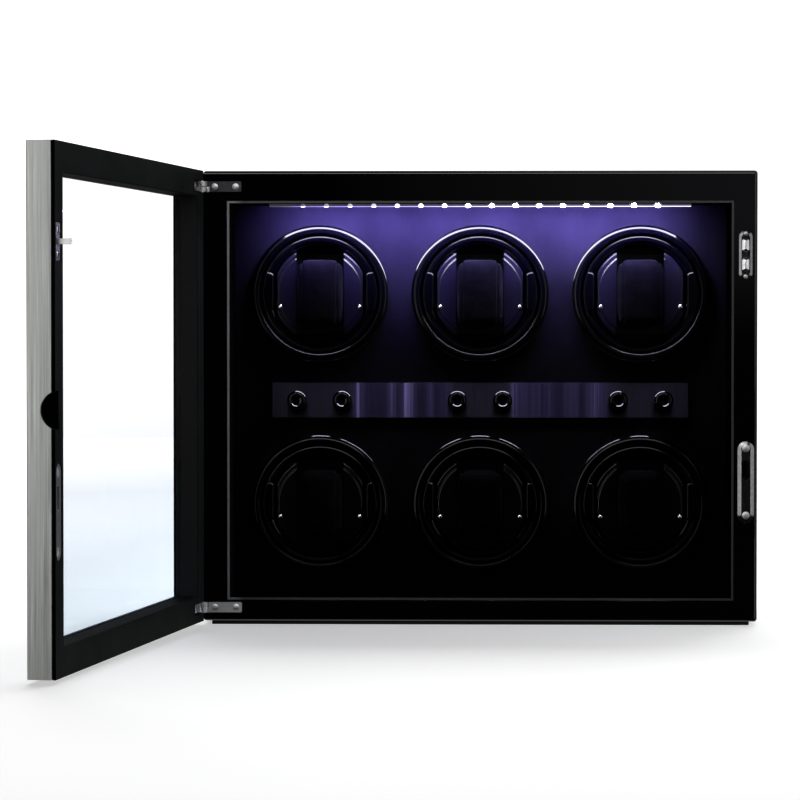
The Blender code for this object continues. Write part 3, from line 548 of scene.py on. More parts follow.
def shaped(form, steps, edge=0.0, segments=2, angle=40):
    """The form after Boolean steps, ("DIFFERENCE" or "UNION", other form), with its edges rounded."""
    holders = []

    def loose(source, name):
        mesh = bpy.data.meshes.new(name)
        bmesh.ops.recalc_face_normals(source, faces=source.faces)
        source.to_mesh(mesh)
        source.free()
        holders.append(bpy.data.objects.new(name, mesh))
        scene.collection.objects.link(holders[-1])
        return holders[-1]

    base = loose(form, "work")
    for slot in ("first", "second"):  # keeps each face's own slot through the steps
        base.data.materials.append(bpy.data.materials.new(slot))
    for operation, other in steps:
        step = base.modifiers.new("step", "BOOLEAN")
        step.operation, step.object, step.solver = operation, loose(other, "tool"), "EXACT"
    if edge:
        base.modifiers.new("weld", "WELD").merge_threshold = 0.00001
        rounding = base.modifiers.new("edge", "BEVEL")
        rounding.width, rounding.segments = edge, segments
        rounding.limit_method, rounding.angle_limit = "ANGLE", math.radians(angle)
    graph = bpy.context.evaluated_depsgraph_get()
    mesh = bpy.data.meshes.new_from_object(base.evaluated_get(graph))
    result = bmesh.new()
    result.from_mesh(mesh)
    for finish in base.data.materials:
        bpy.data.materials.remove(finish)
    for made in holders:
        old = made.data
        bpy.data.objects.remove(made)
        bpy.data.meshes.remove(old)
    bpy.data.meshes.remove(mesh)
    return result


def cut(form):
    return ("DIFFERENCE", form)


def cutter(low, high):
    return cut(box_form(low, high))


def front_view(low, high):
    """A box's width, height and centre as the front shows it."""
    return high.x - low.x, high.z - low.z, ((low.x + high.x) / 2, (low.z + high.z) / 2)


def plate_room(low, high, front, back):
    """The recess of a plate with round ends."""
    width, height, centre = front_view(low, high)
    return cut(plate_form(stadium(width + 2 * gap, height + 2 * gap), front, back, centre))


# ---------------------------------------------------------------- screws


def screw(name, place, radius, body, height=0.0007, turn=20.0, rise=None, matrix=None, behind=False):
    """A domed head with a small cross recess, on a face that looks to the front, or to the back."""
    rise = height + 0.16 * radius if rise is None else rise
    dome = [(radius * k, -rise * (1 - k * k)) for k in (0, 0.2, 0.4, 0.6, 0.8, 0.93)]
    profile = dome + [(radius, 0), (radius, height), (0, height)]
    form = turned_form(fillet(profile, radius * 0.05, 2, closed=False), 40)
    width, reach = radius * 0.16, radius * 0.72
    arms = [about((0, -rise, 0), size) for size in ((reach, rise, width), (width, rise, reach))]
    form = shaped(form, [cutter(*arm) for arm in arms])
    here = Matrix.Translation(place) @ Matrix.Rotation(math.radians(turn), 4, "Y")
    if behind:
        here = here @ Matrix.Rotation(math.pi, 4, "Z")
    put(name, form, SCREW, body, here if matrix is None else matrix @ here)


def door_screws(name, centre, reach, radius, turn):
    """A pair of screws, above and below a plate's centre, sunk in the door's inner face."""
    for tag, side in ENDS:
        place = (centre[0], door_face - SEAT, centre[1] + side * reach)
        screw(f"{name}_{tag}", place, radius, "door", 0.0002, -turn * side, LOW_RISE, DOOR, True)


def sunk_seats(places, radius, on_door=True):
    """Seats at places in x and z, so that the screws' heads stay below the face."""
    face, out = (door_face, 1) if on_door else (front_y, -1)
    y = face + out * (PAST - SEAT)
    return [cut(rod_form((x, y, z), radius + 0.0002, 2 * PAST, "Y", 40)) for x, z in places]


def pair(centre, reach):
    """Two places in x and z, below and above a centre."""
    return [(centre[0], centre[1] + side * reach) for tag, side in ENDS]


# ---------------------------------------------------------------- cabinet


def make_case():
    """Lacquered shell with rounded edges, and the recesses of its hardware."""
    back_low, back_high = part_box("back_panel")
    room = Vector((gap, gap, gap))
    inside_low, inside_high = liner_low - room, liner_high + room
    inside_low.y, inside_high.y = front_y - PAST, back_y + PAST
    rebate_low, rebate_high = back_low - room, back_high + room
    rebate_high.y = back_y + PAST
    steps = [cutter(inside_low, inside_high), cutter(rebate_low, rebate_high)]
    plate_back = front_y + PLATE + gap
    for tag in ("upper", "lower"):
        low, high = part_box(f"hinge_{tag}_case_leaf")
        low, high = low - room, high + room
        steps.append(cutter((low.x - PAST, front_y - PAST, low.z), (high.x, plate_back, high.z)))
        centre = (hinge_x, hinge_y, (low.z + high.z) / 2)
        steps.append(cut(rod_form(centre, KNUCKLE + 2 * gap, high.z - low.z, "Z")))
    steps.append(plate_room(*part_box("catch_body"), front_y - PAST, plate_back))
    catch, slot = middle("catch_body"), (strike_low + strike_high) / 2
    steps.append(cutter(*about((catch.x, front_y, catch.z), (0.0088, 0.024, 0.0302))))
    steps.append(plate_room(*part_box("lock_strike_plate"), front_y - PAST, plate_back))
    steps.append(cutter(*about((slot.x, front_y, slot.z), (0.0066, 0.024, 0.018))))
    form = box_form(case_low, case_high)
    form.normal_update()
    sharp = [e for e in form.edges if e.calc_face_angle(0) > 0.9 and not beside_door(e)]
    bevel(form, sharp, 0.0025, 6)
    form = shaped(form, steps, EDGE, 3)
    put("case_shell", form, LACQUER, "case", nodes=["cabinet_case"])


def beside_door(edge):
    """True for the case's upright front edge on the hinge side."""
    return all(v.co.x < 0 and v.co.y < 0 for v in edge.verts)


def make_strip():
    places = [(knob_axis(n).x, strip_low.y, knob_axis(n).z) for n in ROTORS]
    holes = [cut(rod_form(place, 0.0036, 0.02, "Y", 32)) for place in places]
    form = shaped(box_form(strip_low, strip_high), holes, 0.0003, 2)
    put("control_strip_plate", form, STRIP, "case", nodes=["control_strip"])


def make_knob(name):
    """Gloss cap with a dished face, a rounded edge and a pointer notch."""
    node = f"program_knob_{name}"
    low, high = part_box(node)
    radius, front, back = (high.x - low.x) / 2, low.y, strip_low.y - gap
    face = [(0, front + 0.0010), (radius * 0.52, front + 0.0006), (radius * 0.60, front)]
    bead = flank(radius * 0.62, radius - 0.0001, front, 0.0036)
    skirt = [(radius, back), (0.0030, back), (0.0030, high.y), (0, high.y)]
    radii = [0, 0.001, 0.0006] + [0] * len(bead) + [0.0003, 0, 0.0002, 0]
    form = turned_form(fillet(face + bead + skirt, radii, 4, False), 72)
    notch = about((0, front, radius * 0.55), (0.0010, 0.0016, radius * 0.5))
    here = Matrix.Translation(knob_axis(name))
    form = shaped(form, [cutter(*notch)])
    put(f"knob_{name}_cap", form, ROTOR, f"knob_{name}", here, [node])


def make_leds():
    """A row of lamp lenses along the bar, one mesh."""
    form = bmesh.new()
    for i in range(LED_COUNT):
        place = ((i - (LED_COUNT - 1) / 2) * LED_PITCH, bar_low.y + 0.0008, bar_low.z + 0.0006)
        here = Matrix.Translation(place) @ Matrix.Diagonal((1.5, 1.0, 1.0, 1))
        bmesh.ops.create_uvsphere(form, u_segments=20, v_segments=12, radius=LED_RADIUS, matrix=here)
    put("led_lamps", form, LED_LAMP, "case")


def make_back():
    """Screws around the back panel, and the low-voltage inlet."""
    low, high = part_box("back_panel")
    inset, radius = 0.012, 0.0034
    for i in range(3):
        for side, z in (("bottom", low.z + inset), ("top", high.z - inset)):
            place = (low.x + inset + i * (high.x - low.x - 2 * inset) / 2, high.y, z)
            screw(f"back_screw_{side}_{i}", place, radius, "case", turn=35 * i, behind=True)
    for side, x in (("left", low.x + inset), ("right", high.x - inset)):
        screw(f"back_screw_{side}", (x, high.y, middle_z), radius, "case", turn=50, behind=True)

    low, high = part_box("dc_jack")
    flange, barrel, bore, pin, depth = (high.x - low.x) / 2, 0.0055, 0.0034, 0.0011, 0.010
    outside, rim = back_y + gap, high.y
    profile = [(0, low.y), (barrel, low.y), (barrel, outside), (flange, outside), (flange, rim), (bore, rim)]
    profile += [(bore, rim - depth), (pin, rim - depth), (pin - 0.0002, rim - 0.002), (0, rim - 0.0016)]
    radii = [0, 0.0004, 0, 0.0003, 0.0007, 0.0005, 0.0002, 0, 0.0003, 0]
    form = turned_form(fillet(profile, radii, 4, False), 64)
    here = Matrix.Translation((middle("dc_jack").x, 0, middle("dc_jack").z))
    put("dc_inlet", form, JACK, "case", here, ["dc_jack"])


# ---------------------------------------------------------------- rotor units


def flank(crest, edge, front, curve, steps=10):
    """A convex arc in (radius, y), from the crest outwards: it falls away towards the edge."""
    end = math.asin((edge - crest) / curve)
    turns = [end * i / steps for i in range(steps + 1)]
    return [(crest + curve * math.sin(t), front + curve * (1 - math.cos(t))) for t in turns]


def make_bezel(name):
    """A broad round bead, then a step down to the rotor."""
    node = f"bezel_ring_{name}"
    low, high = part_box(node)
    outer, inner, sleeve, front, seat = (high.x - low.x) / 2, 0.0460, 0.0474, low.y, facia_y - gap
    step = [(inner, front + 0.0046), (inner + 0.0003, front + 0.0022), (inner + 0.0009, front + 0.0002)]
    bead = flank(inner + 0.0035, outer, front, 0.0050)
    back = [(outer, seat), (sleeve, seat), (sleeve, high.y), (inner, high.y)]
    radii = [0.0008, 0.001, 0.001] + [0] * (len(bead) - 1) + [0.0005, 0.0002, 0, 0.0002, 0.0002]
    form = turned_form(fillet(step + bead + back, radii, 5), closed=True)
    here = Matrix.Translation(rotor_axis(name))
    put(f"bezel_{name}", form, ROTOR, "case", here, [node])


def grip_outline(side, steps=14):
    """A grip that follows the rim outside, with round ends and a straight inner edge."""
    outer, inner, low, high = 0.0446, 0.0356, -0.014, 0.017
    start, end = math.asin(low / outer), math.asin(high / outer)
    arc = [start + (end - start) * i / steps for i in range(steps + 1)]
    points = [(side * outer * math.cos(a), outer * math.sin(a)) for a in arc]
    points += [(side * inner, high - 0.0010), (side * inner, low + 0.0010)]
    radii = [0.0042] + [0.0] * (steps - 1) + [0.0042, 0.0030, 0.0030]
    return fillet(points, radii, 6)


def make_cup(name):
    """Turning cup: a rolled rim, a stepped recess, two finger grips, and the hub behind."""
    node = f"rotor_cup_{name}"
    low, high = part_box(node)
    radius, front, floor, back = 0.0450, -0.0380, 0.0080, 0.0120
    hub, bore, bore_end = 0.0080, 0.0028, 0.0092
    recess = [(0, floor), (0.0383, floor), (0.0383, front + 0.0066), (0.0402, front + 0.0058)]
    recess.append((0.0408, front + 0.0014))
    rim = flank(0.0430, radius, front, 0.0040)
    behind = [(radius, back), (hub, back), (hub, high.y), (bore, high.y), (bore, bore_end), (0, bore_end)]
    radii = [0, 0.0015, 0.0006, 0.0006, 0.0010] + [0] * (len(rim) - 1)
    radii += [0.0005, 0.0012, 0.0008, 0.0005, 0.0002, 0, 0]
    form = turned_form(fillet(recess + rim + behind, radii, 4, False))
    grips = [plate_form(grip_outline(s), low.y, front + 0.007, edge=0.0036, segments=7) for s in (-1, 1)]
    form = shaped(form, [("UNION", grip) for grip in grips])
    here = Matrix.Translation(rotor_axis(name))
    put(f"cup_{name}", form, ROTOR, f"rotor_{name}", here, [node])


def make_holder(name):
    """Two gloss wings with flat outer sides on a channel that holds the cushion."""
    node, body = f"watch_holder_{name}", f"holder_{name}"
    low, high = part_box(node)
    half, radius, front, back = (high.x - low.x) / 2, 0.0373, low.y, high.y
    slot, wall, floor, plate, tall, reach = 0.0185, 0.0022, 0.0040, 0.0032, 0.0310, 0.05
    step = radius - 0.0042
    profile = [(0, front), (step - 0.0008, front + 0.0002), (step, front + 0.0009)]
    profile += [(radius - 0.0012, front + 0.0010), (radius, front + 0.0022)]
    profile += [(radius, front + plate), (0, front + plate)]
    disc = turned_form(fillet(profile, [0, 0.0012, 0.0006, 0.0014, 0.0008, 0.0003, 0], 6, False), 128)
    channel = box_form((-slot - wall, front + plate / 2, -tall), (slot + wall, back, tall))
    steps = [
        ("UNION", channel),
        cutter((-slot, -reach, -reach), (slot, back - floor, reach)),
        cutter((half, -reach, -reach), (reach, reach, reach)),
        cutter((-reach, -reach, -reach), (-half, reach, reach)),
    ]
    form = shaped(disc, steps, 0.0007, 3, 55)
    axis = rotor_axis(name)
    put(f"{body}_wings", form, WING, body, Matrix.Translation(axis), [node])
    for tag, side in (("left", -1), ("right", 1)):
        here = Matrix.Translation(axis + Vector((side * (half - 0.0022), front + 0.0007, -0.0102)))
        profile = fillet([(0, -0.0012), (0.0016, -0.0009), (0.0018, 0.0006), (0, 0.0006)], 0.0005, 4, False)
        put(f"{body}_pin_{tag}", turned_form(profile, 32), CHROME, body, here)


def cushion_form():
    """One cushion about its own centre: stuffed by cloth simulation, flat where the holder's walls are."""
    low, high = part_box(f"watch_cushion_{ROTORS[0]}")
    half = (high - low) / 2
    start = half - Vector((0.0008, 0.0030, 0.0028))
    form = box_form(-start, start, 0.0085, 5)
    mesh = bpy.data.meshes.new("cushion_start")
    form.to_mesh(mesh)
    form.free()
    pad = bpy.data.objects.new("cushion_work", mesh)
    scene.collection.objects.link(pad)

    def settled():
        """The pad's mesh with its modifiers applied."""
        graph = bpy.context.evaluated_depsgraph_get()
        made = bpy.data.meshes.new_from_object(pad.evaluated_get(graph))
        pad.modifiers.clear()
        pad.data = made
        return np.array([v.co for v in made.vertices])

    remesh = pad.modifiers.new("even", "REMESH")
    remesh.mode, remesh.voxel_size = "VOXEL", 0.0016
    rest = now = settled()
    cloth = pad.modifiers.new("stuffing", "CLOTH").settings
    cloth.use_pressure, cloth.uniform_pressure_force = True, 4.0
    cloth.effector_weights.gravity = 0.0
    cloth.quality = 6
    cloth.tension_stiffness = cloth.compression_stiffness = 12
    cloth.bending_stiffness = 0.4
    for number in range(1, 21):
        scene.frame_set(number)
    now = settled()
    scene.frame_set(1)
    move = now - rest
    length = np.linalg.norm(move, axis=1, keepdims=True)
    now = rest + move * np.minimum(1.0, MOST_STUFFING / np.maximum(length, 1e-9))
    now = np.clip(now, -np.array(half), np.array(half))
    pad.data.vertices.foreach_set("co", now.astype(np.float32).ravel())
    result = bmesh.new()
    result.from_mesh(pad.data)
    bpy.data.objects.remove(pad)
    bmesh.ops.subdivide_edges(result, edges=result.edges, cuts=1, use_grid_fill=True, smooth=0.4)
    return result, half


def make_cushions():
    """Each copy has its own soft dents, and a sewn seam round each side."""
    master, half = cushion_form()
    seam_x, depth, width = half.x - 0.0042, 0.0011, 0.0007
    for number, name in enumerate(ROTORS):
        form = master.copy()
        seed = Vector((number * 7.3, number * 3.1, number * 5.7))
        for vertex in form.verts:
            inward = -vertex.co.normalized()
            dent = noise.fractal(vertex.co * 60 + seed, 0.7, 2.0, 3) * 0.0005
            sink = depth * math.exp(-(((abs(vertex.co.x) - seam_x) / width) ** 2))
            vertex.co += inward * (sink + max(0.0, dent))
        node = f"watch_cushion_{name}"
        here = Matrix.Translation(middle(node))
        piece = put(f"cushion_{name}", form, SUEDE, f"holder_{name}", here, [node])
    master.free()


def make_motor(name):
    """Gearbox with a can motor behind and its end cap."""
    node = f"gearmotor_{name}"
    low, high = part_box(node)
    shaft, nose, nose_start, flange, box, can, cap = 0.0025, 0.0060, 0.0200, 0.0185, 0.0180, 0.0120, 0.0105
    box_front, box_back, end = 0.0263, 0.0463, high.y
    step, rim = box_front + 0.0022, end - 0.0010
    profile = [(0, low.y), (shaft, low.y), (shaft, nose_start), (nose, nose_start), (nose, box_front)]
    profile += [(flange, box_front), (flange, step), (box, step), (box, box_back), (can, box_back)]
    profile += [(can, rim), (cap, rim), (cap - 0.0005, end), (0, end)]
    radii = [0, 0.0004, 0, 0.0004, 0, 0.0004, 0.0004, 0, 0.0008, 0, 0.0010, 0, 0.0005, 0]
    form = turned_form(fillet(profile, radii, 3, False), 64)
    here = Matrix.Translation(rotor_axis(name))
    put(f"drive_{name}", form, STEEL, "case", here, [node])


# ---------------------------------------------------------------- door


def ring_form(section):
    """The door's four mitred members, of one section given as (inset from the outline, y)."""
    form = bmesh.new()
    corners = [(1, 1), (-1, 1), (-1, -1), (1, -1)]
    centre_x, centre_z = door_width / 2, case_low.z + door_height / 2
    count = len(section)

    def loop(corner):
        wide, tall = corner
        spots = [(wide * (door_width / 2 - inset), y, tall * (door_height / 2 - inset)) for inset, y in section]
        return [form.verts.new((centre_x + x, y, centre_z + z)) for x, y, z in spots]

    for k in range(4):
        first, second = loop(corners[k]), loop(corners[(k + 1) % 4])
        faces = [
            form.faces.new((first[i], first[(i + 1) % count], second[(i + 1) % count], second[i]))
            for i in range(count)
        ]
        for face in faces + [form.faces.new(first), form.faces.new(reversed(second))]:
            face.material_index = k % 2
    bmesh.ops.remove_doubles(form, verts=form.verts, dist=0.0000001)
    bmesh.ops.delete(form, geom=[f for f in form.faces if is_mitre(f)], context="FACES_ONLY")
    return form


def is_mitre(face):
    face.normal_update()
    normal = face.normal
    return abs(abs(normal.x) - abs(normal.z)) < 0.02 and abs(normal.y) < 0.02 and len(face.verts) > 4


def door_layers():
    """The door's own depths, from its face outward: y of the lip's back, the edge's start and the front."""
    lip = door_face - LINING_LIP
    return lip, lip - gap, lip - gap - FRAME_EDGE


def door_cuts():
    """What is cut from the door's members: finger notch, knuckle rooms and the key barrel's hole."""
    steps = [cut(rod_form((door_width, door_face + 0.0034, middle_z), 0.0127, 0.016, "X", 96))]
    for tag in ("upper", "lower"):
        z = middle(f"hinge_{tag}_case_leaf").z
        steps.append(cut(rod_form((0, 0, z), KNUCKLE + 2 * gap, 0.0083, "Z")))
    return steps + [cut(rod_form(key_place(), 0.0045, 0.06, "Y"))]


def closed(node):
    """A door node's box when the door is drawn closed."""
    back = DOOR.inverted()
    points = [back @ v.co for v in frame["nodes"][node].data.vertices]
    return [Vector([pick(p[k] for p in points) for k in range(3)]) for pick in (min, max)]


def key_place():
    low, high = closed("lock_case")
    return ((low.x + high.x) / 2, low.y, (low.z + high.z) / 2 - 0.011)


def faces_window(face):
    """True for a door face that looks across the window."""
    across = Vector((door_width / 2, 0, middle_z)) - face.calc_center_median()
    inset = MEMBER - 0.001
    inside = abs(across.x) < door_width / 2 - inset and abs(across.z) < door_height / 2 - inset
    return inside and abs(face.normal.y) < 0.5


def make_door_frame():
    """Brushed metal: an edge wall and a front flange, four members mitred at the corners."""
    lip, start, front = door_layers()
    section = [(0, start), (0, front), (MEMBER, front), (MEMBER, front + SHEET), (SHEET, front + SHEET)]
    section = fillet(section + [(SHEET, start)], [0.0004, 0.0008, 0.0005, 0.0002, 0.0004, 0.0004], 3)
    form = shaped(ring_form(section), door_cuts())
    form.normal_update()
    for face in form.faces:
        if faces_window(face):
            face.material_index = 2
    put("door_metal_frame", form, [RAIL, STILE, SATIN], "door", DOOR, ["door_frame"])


def make_lining():
    """Satin black inner lining with the hardware's recesses."""
    lip, start, front = door_layers()
    stop, face = closed("door_glass")[1].y + gap, door_face + LINING_PROUD
    section = [(0, face), (0, lip), (SHEET + gap, lip), (SHEET + gap, stop), (MEMBER, stop), (MEMBER, face)]
    section = fillet(section, [0.0001, 0.0003, 0, 0.0002, 0.0003, 0.0010], 4)
    *steps, key_hole = door_cuts()
    depth = door_face - PLATE - gap
    for tag in ("upper", "lower"):
        low, high = closed(f"hinge_{tag}_door_leaf")
        steps.append(cutter((-PAST, depth, low.z - gap), (high.x + gap, PAST, high.z + gap)))
    low, high = closed("catch_tongue")
    steps.append(cutter((low.x - gap, depth, low.z - gap), (high.x + gap, PAST, high.z + gap)))
    steps.append(plate_room(*closed("lock_case"), depth, PAST))
    x, z = front_view(*closed("lock_case"))[2]
    body_low = (x - 0.0053, door_face - 0.0113, z - 0.0213)
    steps += [cutter(body_low, (x + 0.0053, PAST, z + 0.0213)), key_hole]
    form = shaped(ring_form(section), steps)
    form.normal_update()
    for f in form.faces:
        f.material_index = int(faces_window(f) and f.normal.x > 0.5)
    put("door_inner_lining", form, [SATIN, REVEAL], "door", DOOR, ["door_lining"])


# ---------------------------------------------------------------- hardware


def make_leaf(end, on_door):
    """Hinge strap: plate, half knuckle and two screws, drawn about the hinge's own axis."""
    place = "door" if on_door else "case"
    node, name = f"hinge_{end}_{place}_leaf", f"hinge_{end}_{place}_strap"
    matrix = DOOR if on_door else Matrix.Translation((hinge_x, hinge_y, 0))
    low, high = closed(node) if on_door else [v - Vector((hinge_x, hinge_y, 0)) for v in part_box(node)]
    z, half = (low.z + high.z) / 2, (high.z - low.z) / 2
    start, end_x = KNUCKLE + 2 * gap, high.x
    near = door_face - PLATE if on_door else -door_face
    corners = [(start, -half), (end_x, -half), (end_x, half), (start, half)]
    plate = plate_form(fillet(corners, [0.0003, 0.0012, 0.0012, 0.0003], 5), near, near + PLATE, (0, z))
    side = 1 if on_door else -1
    barrel_low, barrel_high = [z + v for v in sorted((side * gap / 2, side * half))]
    tab = box_form((KNUCKLE / 2, near, barrel_low), (start + 0.001, near + PLATE, barrel_high))
    steps = [("UNION", tab), ("UNION", barrel_form(barrel_low, barrel_high))]
    screws = [0.0087, 0.0246]
    if on_door:
        steps.append(cut(rod_form((0, 0, z), 0.0015, 0.02, "Z", 32)))
        steps += sunk_seats([(x, z) for x in screws], 0.0026)
    else:
        steps.append(("UNION", rod_form((0, 0, z), 0.0011, 2 * half - 0.0004, "Z", 32)))
    form = shaped(plate, steps, 0.00022, 2, 50)
    # painted highlight: the knuckle gets the bright screw nickel, though it is the same metal as the plate
    for f in form.faces:
        f.material_index = int(f.calc_center_median().x < start)
    # painted shade and painted highlight: the same metal is dark gunmetal on the upper case leaf and bright screw
    # nickel on the lower one, where less light reaches
    finish = NICKEL if on_door else GUNMETAL if end == "upper" else SCREW
    put(name, form, [finish, SCREW], place, matrix, [node])
    face = door_face - SEAT if on_door else near
    for number, x in enumerate(screws):
        turn, here = 25 + 40 * number, (x, face, z)
        screw(f"{name}_screw_{number}", here, 0.0026, place, 0.0003, turn, LOW_RISE, matrix, on_door)


def barrel_form(low, high):
    profile = [(0, low), (KNUCKLE, low), (KNUCKLE, high), (0, high)]
    form = turned_form(fillet(profile, 0.0003, 3, False), 48)
    bmesh.ops.transform(form, matrix=Matrix.Rotation(math.pi / 2, 4, "X"), verts=form.verts)
    return form


def make_catch():
    """Two sprung jaws, each a shallow ridge with sloped ends, in a plated body."""
    low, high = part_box("catch_body")
    width, height, centre = front_view(low, high)
    x, z = centre
    reach, radius = 0.0163, 0.0017
    plate = rimmed_plate(width, height, low.y, low.y + PLATE, centre, 0.0026, 0.0007)
    body = box_form((x - 0.0041, low.y + PLATE / 2, z - 0.0148), (x + 0.0041, high.y, z + 0.0148))
    pocket = cutter(*about((x, low.y, z), (0.0066, 0.021, 0.0278)))
    form = shaped(plate, [("UNION", body), pocket] + sunk_seats(pair(centre, reach), radius, False))
    put("catch_case", form, NICKEL, "case", nodes=["catch_body"])
    for tag in ("upper", "lower"):
        node = f"catch_jaw_{tag}"
        low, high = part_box(node)
        width, height, jaw_centre = front_view(low, high)
        wide, tall, front = width / 2, height / 2, low.y
        sizes = [(0.0002, tall - 0.0022, front), (0.0004, tall - 0.0018, front + 0.00003)]
        sizes.append((wide - 0.0004, tall - 0.0005, front + 0.00062))
        sizes.append((wide - 0.0001, tall - 0.0001, front + 0.00085))
        sizes += [(wide, tall, front + 0.0012), (wide, tall, high.y)]
        rings = []
        for w, t, y in sizes:
            corner = [(w * 0.45, -t), (w, -t * 0.72), (w, t * 0.72), (w * 0.45, t)]
            rings.append((corner + [(-a, -b) for a, b in corner], y))
        jaw = stacked_form(rings, jaw_centre)
        put(f"{node}_roller", jaw, CHROME, node, nodes=[node], angle=50)
    for tag, side in ENDS:
        place = (x, front_y + SEAT, z + side * reach)
        screw(f"catch_screw_{tag}", place, radius, "case", 0.0002, rise=LOW_RISE)


def make_strike():
    """Strike plate with a sloped rim, a slot with a raised lip, and two screws."""
    low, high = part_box("lock_strike_plate")
    width, height, centre = front_view(low, high)
    plate = rimmed_plate(width, height, low.y, high.y, centre, 0.0030, 0.0008)
    slot_x, slot_z = centre[0], (strike_low.z + strike_high.z) / 2
    lip = [(-0.0001, 0.0002), (-0.0001, 0), (0.0005, -0.00008), (0.0010, 0.0001), (0.0011, 0.0004)]
    wide, tall = LOCK_SLOT
    rings = [(stadium(wide + 2 * g, tall + 2 * g, 10), low.y + 0.0001 + y) for g, y in lip]
    slot = plate_form(stadium(wide, tall, 10), low.y - PAST, high.y + PAST, (slot_x, slot_z))
    form = shaped(plate, [("UNION", stacked_form(rings, (slot_x, slot_z))), cut(slot)])
    for f in form.faces:
        x, _, z = f.calc_center_median()
        f.material_index = int(abs(x - slot_x) < 0.0041 and abs(z - slot_z) < 0.0088)
    put("strike_plate", form, [NICKEL, SCREW], "case", nodes=["lock_strike_plate"])
    for tag, side in ENDS:
        place = (centre[0], front_y, centre[1] + side * 0.0254)
        screw(f"strike_screw_{tag}", place, 0.0029, "case", 0.0004, rise=LOW_RISE)


def make_tongue():
    """The catch's tongue: a plate with a short blade and two screws."""
    low, high = closed("catch_tongue")
    x, z = centre = front_view(low, high)[2]
    plate = box_form((low.x, door_face - PLATE, low.z), (high.x, door_face, high.z))
    blade = box_form((x - 0.0015, door_face - PLATE / 2, z - 0.0018), (x + 0.0015, high.y, z + 0.0018))
    reach, radius = 0.0078, 0.0022
    form = shaped(plate, [("UNION", blade)] + sunk_seats(pair(centre, reach), radius), 0.0004, 3)
    for face in form.faces:
        face.material_index = int(face.calc_center_median().y > door_face + 0.0004)
    put("catch_blade", form, [GUNMETAL, SCREW], "door", DOOR, ["catch_tongue"])
    door_screws("blade_screw", centre, reach, radius, math.degrees(0.5))


def make_lock():
    """Lock case with its hook's slot, and the key's end outside."""
    low, high = closed("lock_case")
    width, height, centre = front_view(low, high)
    x, z = centre
    reach, radius, key_z, slot_z = 0.0254, 0.0029, key_place()[2], (strike_low.z + strike_high.z) / 2
    plate = plate_form(stadium(width, height), door_face - PLATE, door_face, centre)
    body = box_form((x - 0.005, door_face - 0.011, z - 0.021), (x + 0.005, door_face - PLATE / 2, z + 0.021))
    middle_y, length = (low.y + door_face) / 2 - 0.0005, door_face - low.y - 0.001
    steps = [("UNION", body), ("UNION", rod_form((x, middle_y, key_z), 0.0042, length, "Y"))]
    steps.append(cutter(*about((x, door_face, slot_z), (LOCK_SLOT[0], 0.020, LOCK_SLOT[1]))))
    steps.append(cut(rod_form((x, -0.0065 + door_face, slot_z - 0.004), 0.0015, 0.0086, "X", 24)))
    steps.append(cutter(*about((x, low.y, key_z), (0.0010, 0.004, 0.0046))))
    form = shaped(plate, steps + sunk_seats(pair(centre, reach), radius), 0.00025, 2)
    put("lock_body", form, SATIN_CHROME, "door", DOOR, ["lock_case"])
    door_screws("lock_screw", centre, reach, radius, math.degrees(0.7))


# ---------------------------------------------------------------- CAD nodes that stay, and every piece

KEPT = {
    "interior_liner": LINER,
    "facia_panel": CLOTH,
    "back_panel": BACK,
    "base_pad": RUBBER,
    "motor_board": BOARD,
    "control_board": CIRCUIT,
    "led_bar": LED_STRIP,
    "door_glass": GLASS,
    "lock_hook": STEEL,
}
for node, finish in KEPT.items():
    frame["nodes"][node].data.materials.clear()
    frame["nodes"][node].data.materials.append(finish)

make_case()
make_strip()
make_leds()
make_back()
for rotor in ROTORS:
    for make in (make_knob, make_bezel, make_cup, make_holder, make_motor):
        make(rotor)
make_cushions()
make_door_frame()
make_lining()
for end in ("upper", "lower"):
    make_leaf(end, False)
    make_leaf(end, True)
make_catch()
make_strike()
make_tongue()
make_lock()


# ---------------------------------------------------------------- stage, light and camera


def make_floor():
    form = bmesh.new()
    bmesh.ops.create_grid(form, x_segments=1, y_segments=1, size=4.0)
    mesh = bpy.data.meshes.new("floor")
    form.to_mesh(mesh)
    form.free()
    made = Finish("pale_floor", Roughness=0.9, Specular_IOR_Level=0.0, Emission_Strength=1.5)
    made.tone(made.noise(3, 3), (0.86,) * 3, (0.88,) * 3)
    away = made.tree.nodes.new("ShaderNodeVectorMath")
    away.operation = "LENGTH"
    made.feed(away.inputs[0], made.place)
    far = made.remap(away.outputs["Value"], 0.0, 1.0, 1.9, 3.3)
    made.set("Emission Color", made.ramp(far, (0.0, 0.267), (1.0, 0.93)))
    mesh.materials.append(made.material)
    floor = bpy.data.objects.new("floor", mesh)
    scene.collection.objects.link(floor)
    floor.visible_glossy = floor.visible_diffuse = False


def lamp(name, place, target, size, power, colour=(1, 1, 1), glossy=True, diffuse=True):
    light = bpy.data.lights.new(name, "AREA")
    light.shape = "RECTANGLE"
    light.size, light.size_y = size
    light.energy, light.color = power, colour
    made = bpy.data.objects.new(name, light)
    scene.collection.objects.link(made)
    made.location = place
    made.rotation_mode = "QUATERNION"
    made.rotation_quaternion = (Vector(target) - Vector(place)).to_track_quat("-Z", "Y")
    made.visible_glossy, made.visible_diffuse = glossy, diffuse
    return made


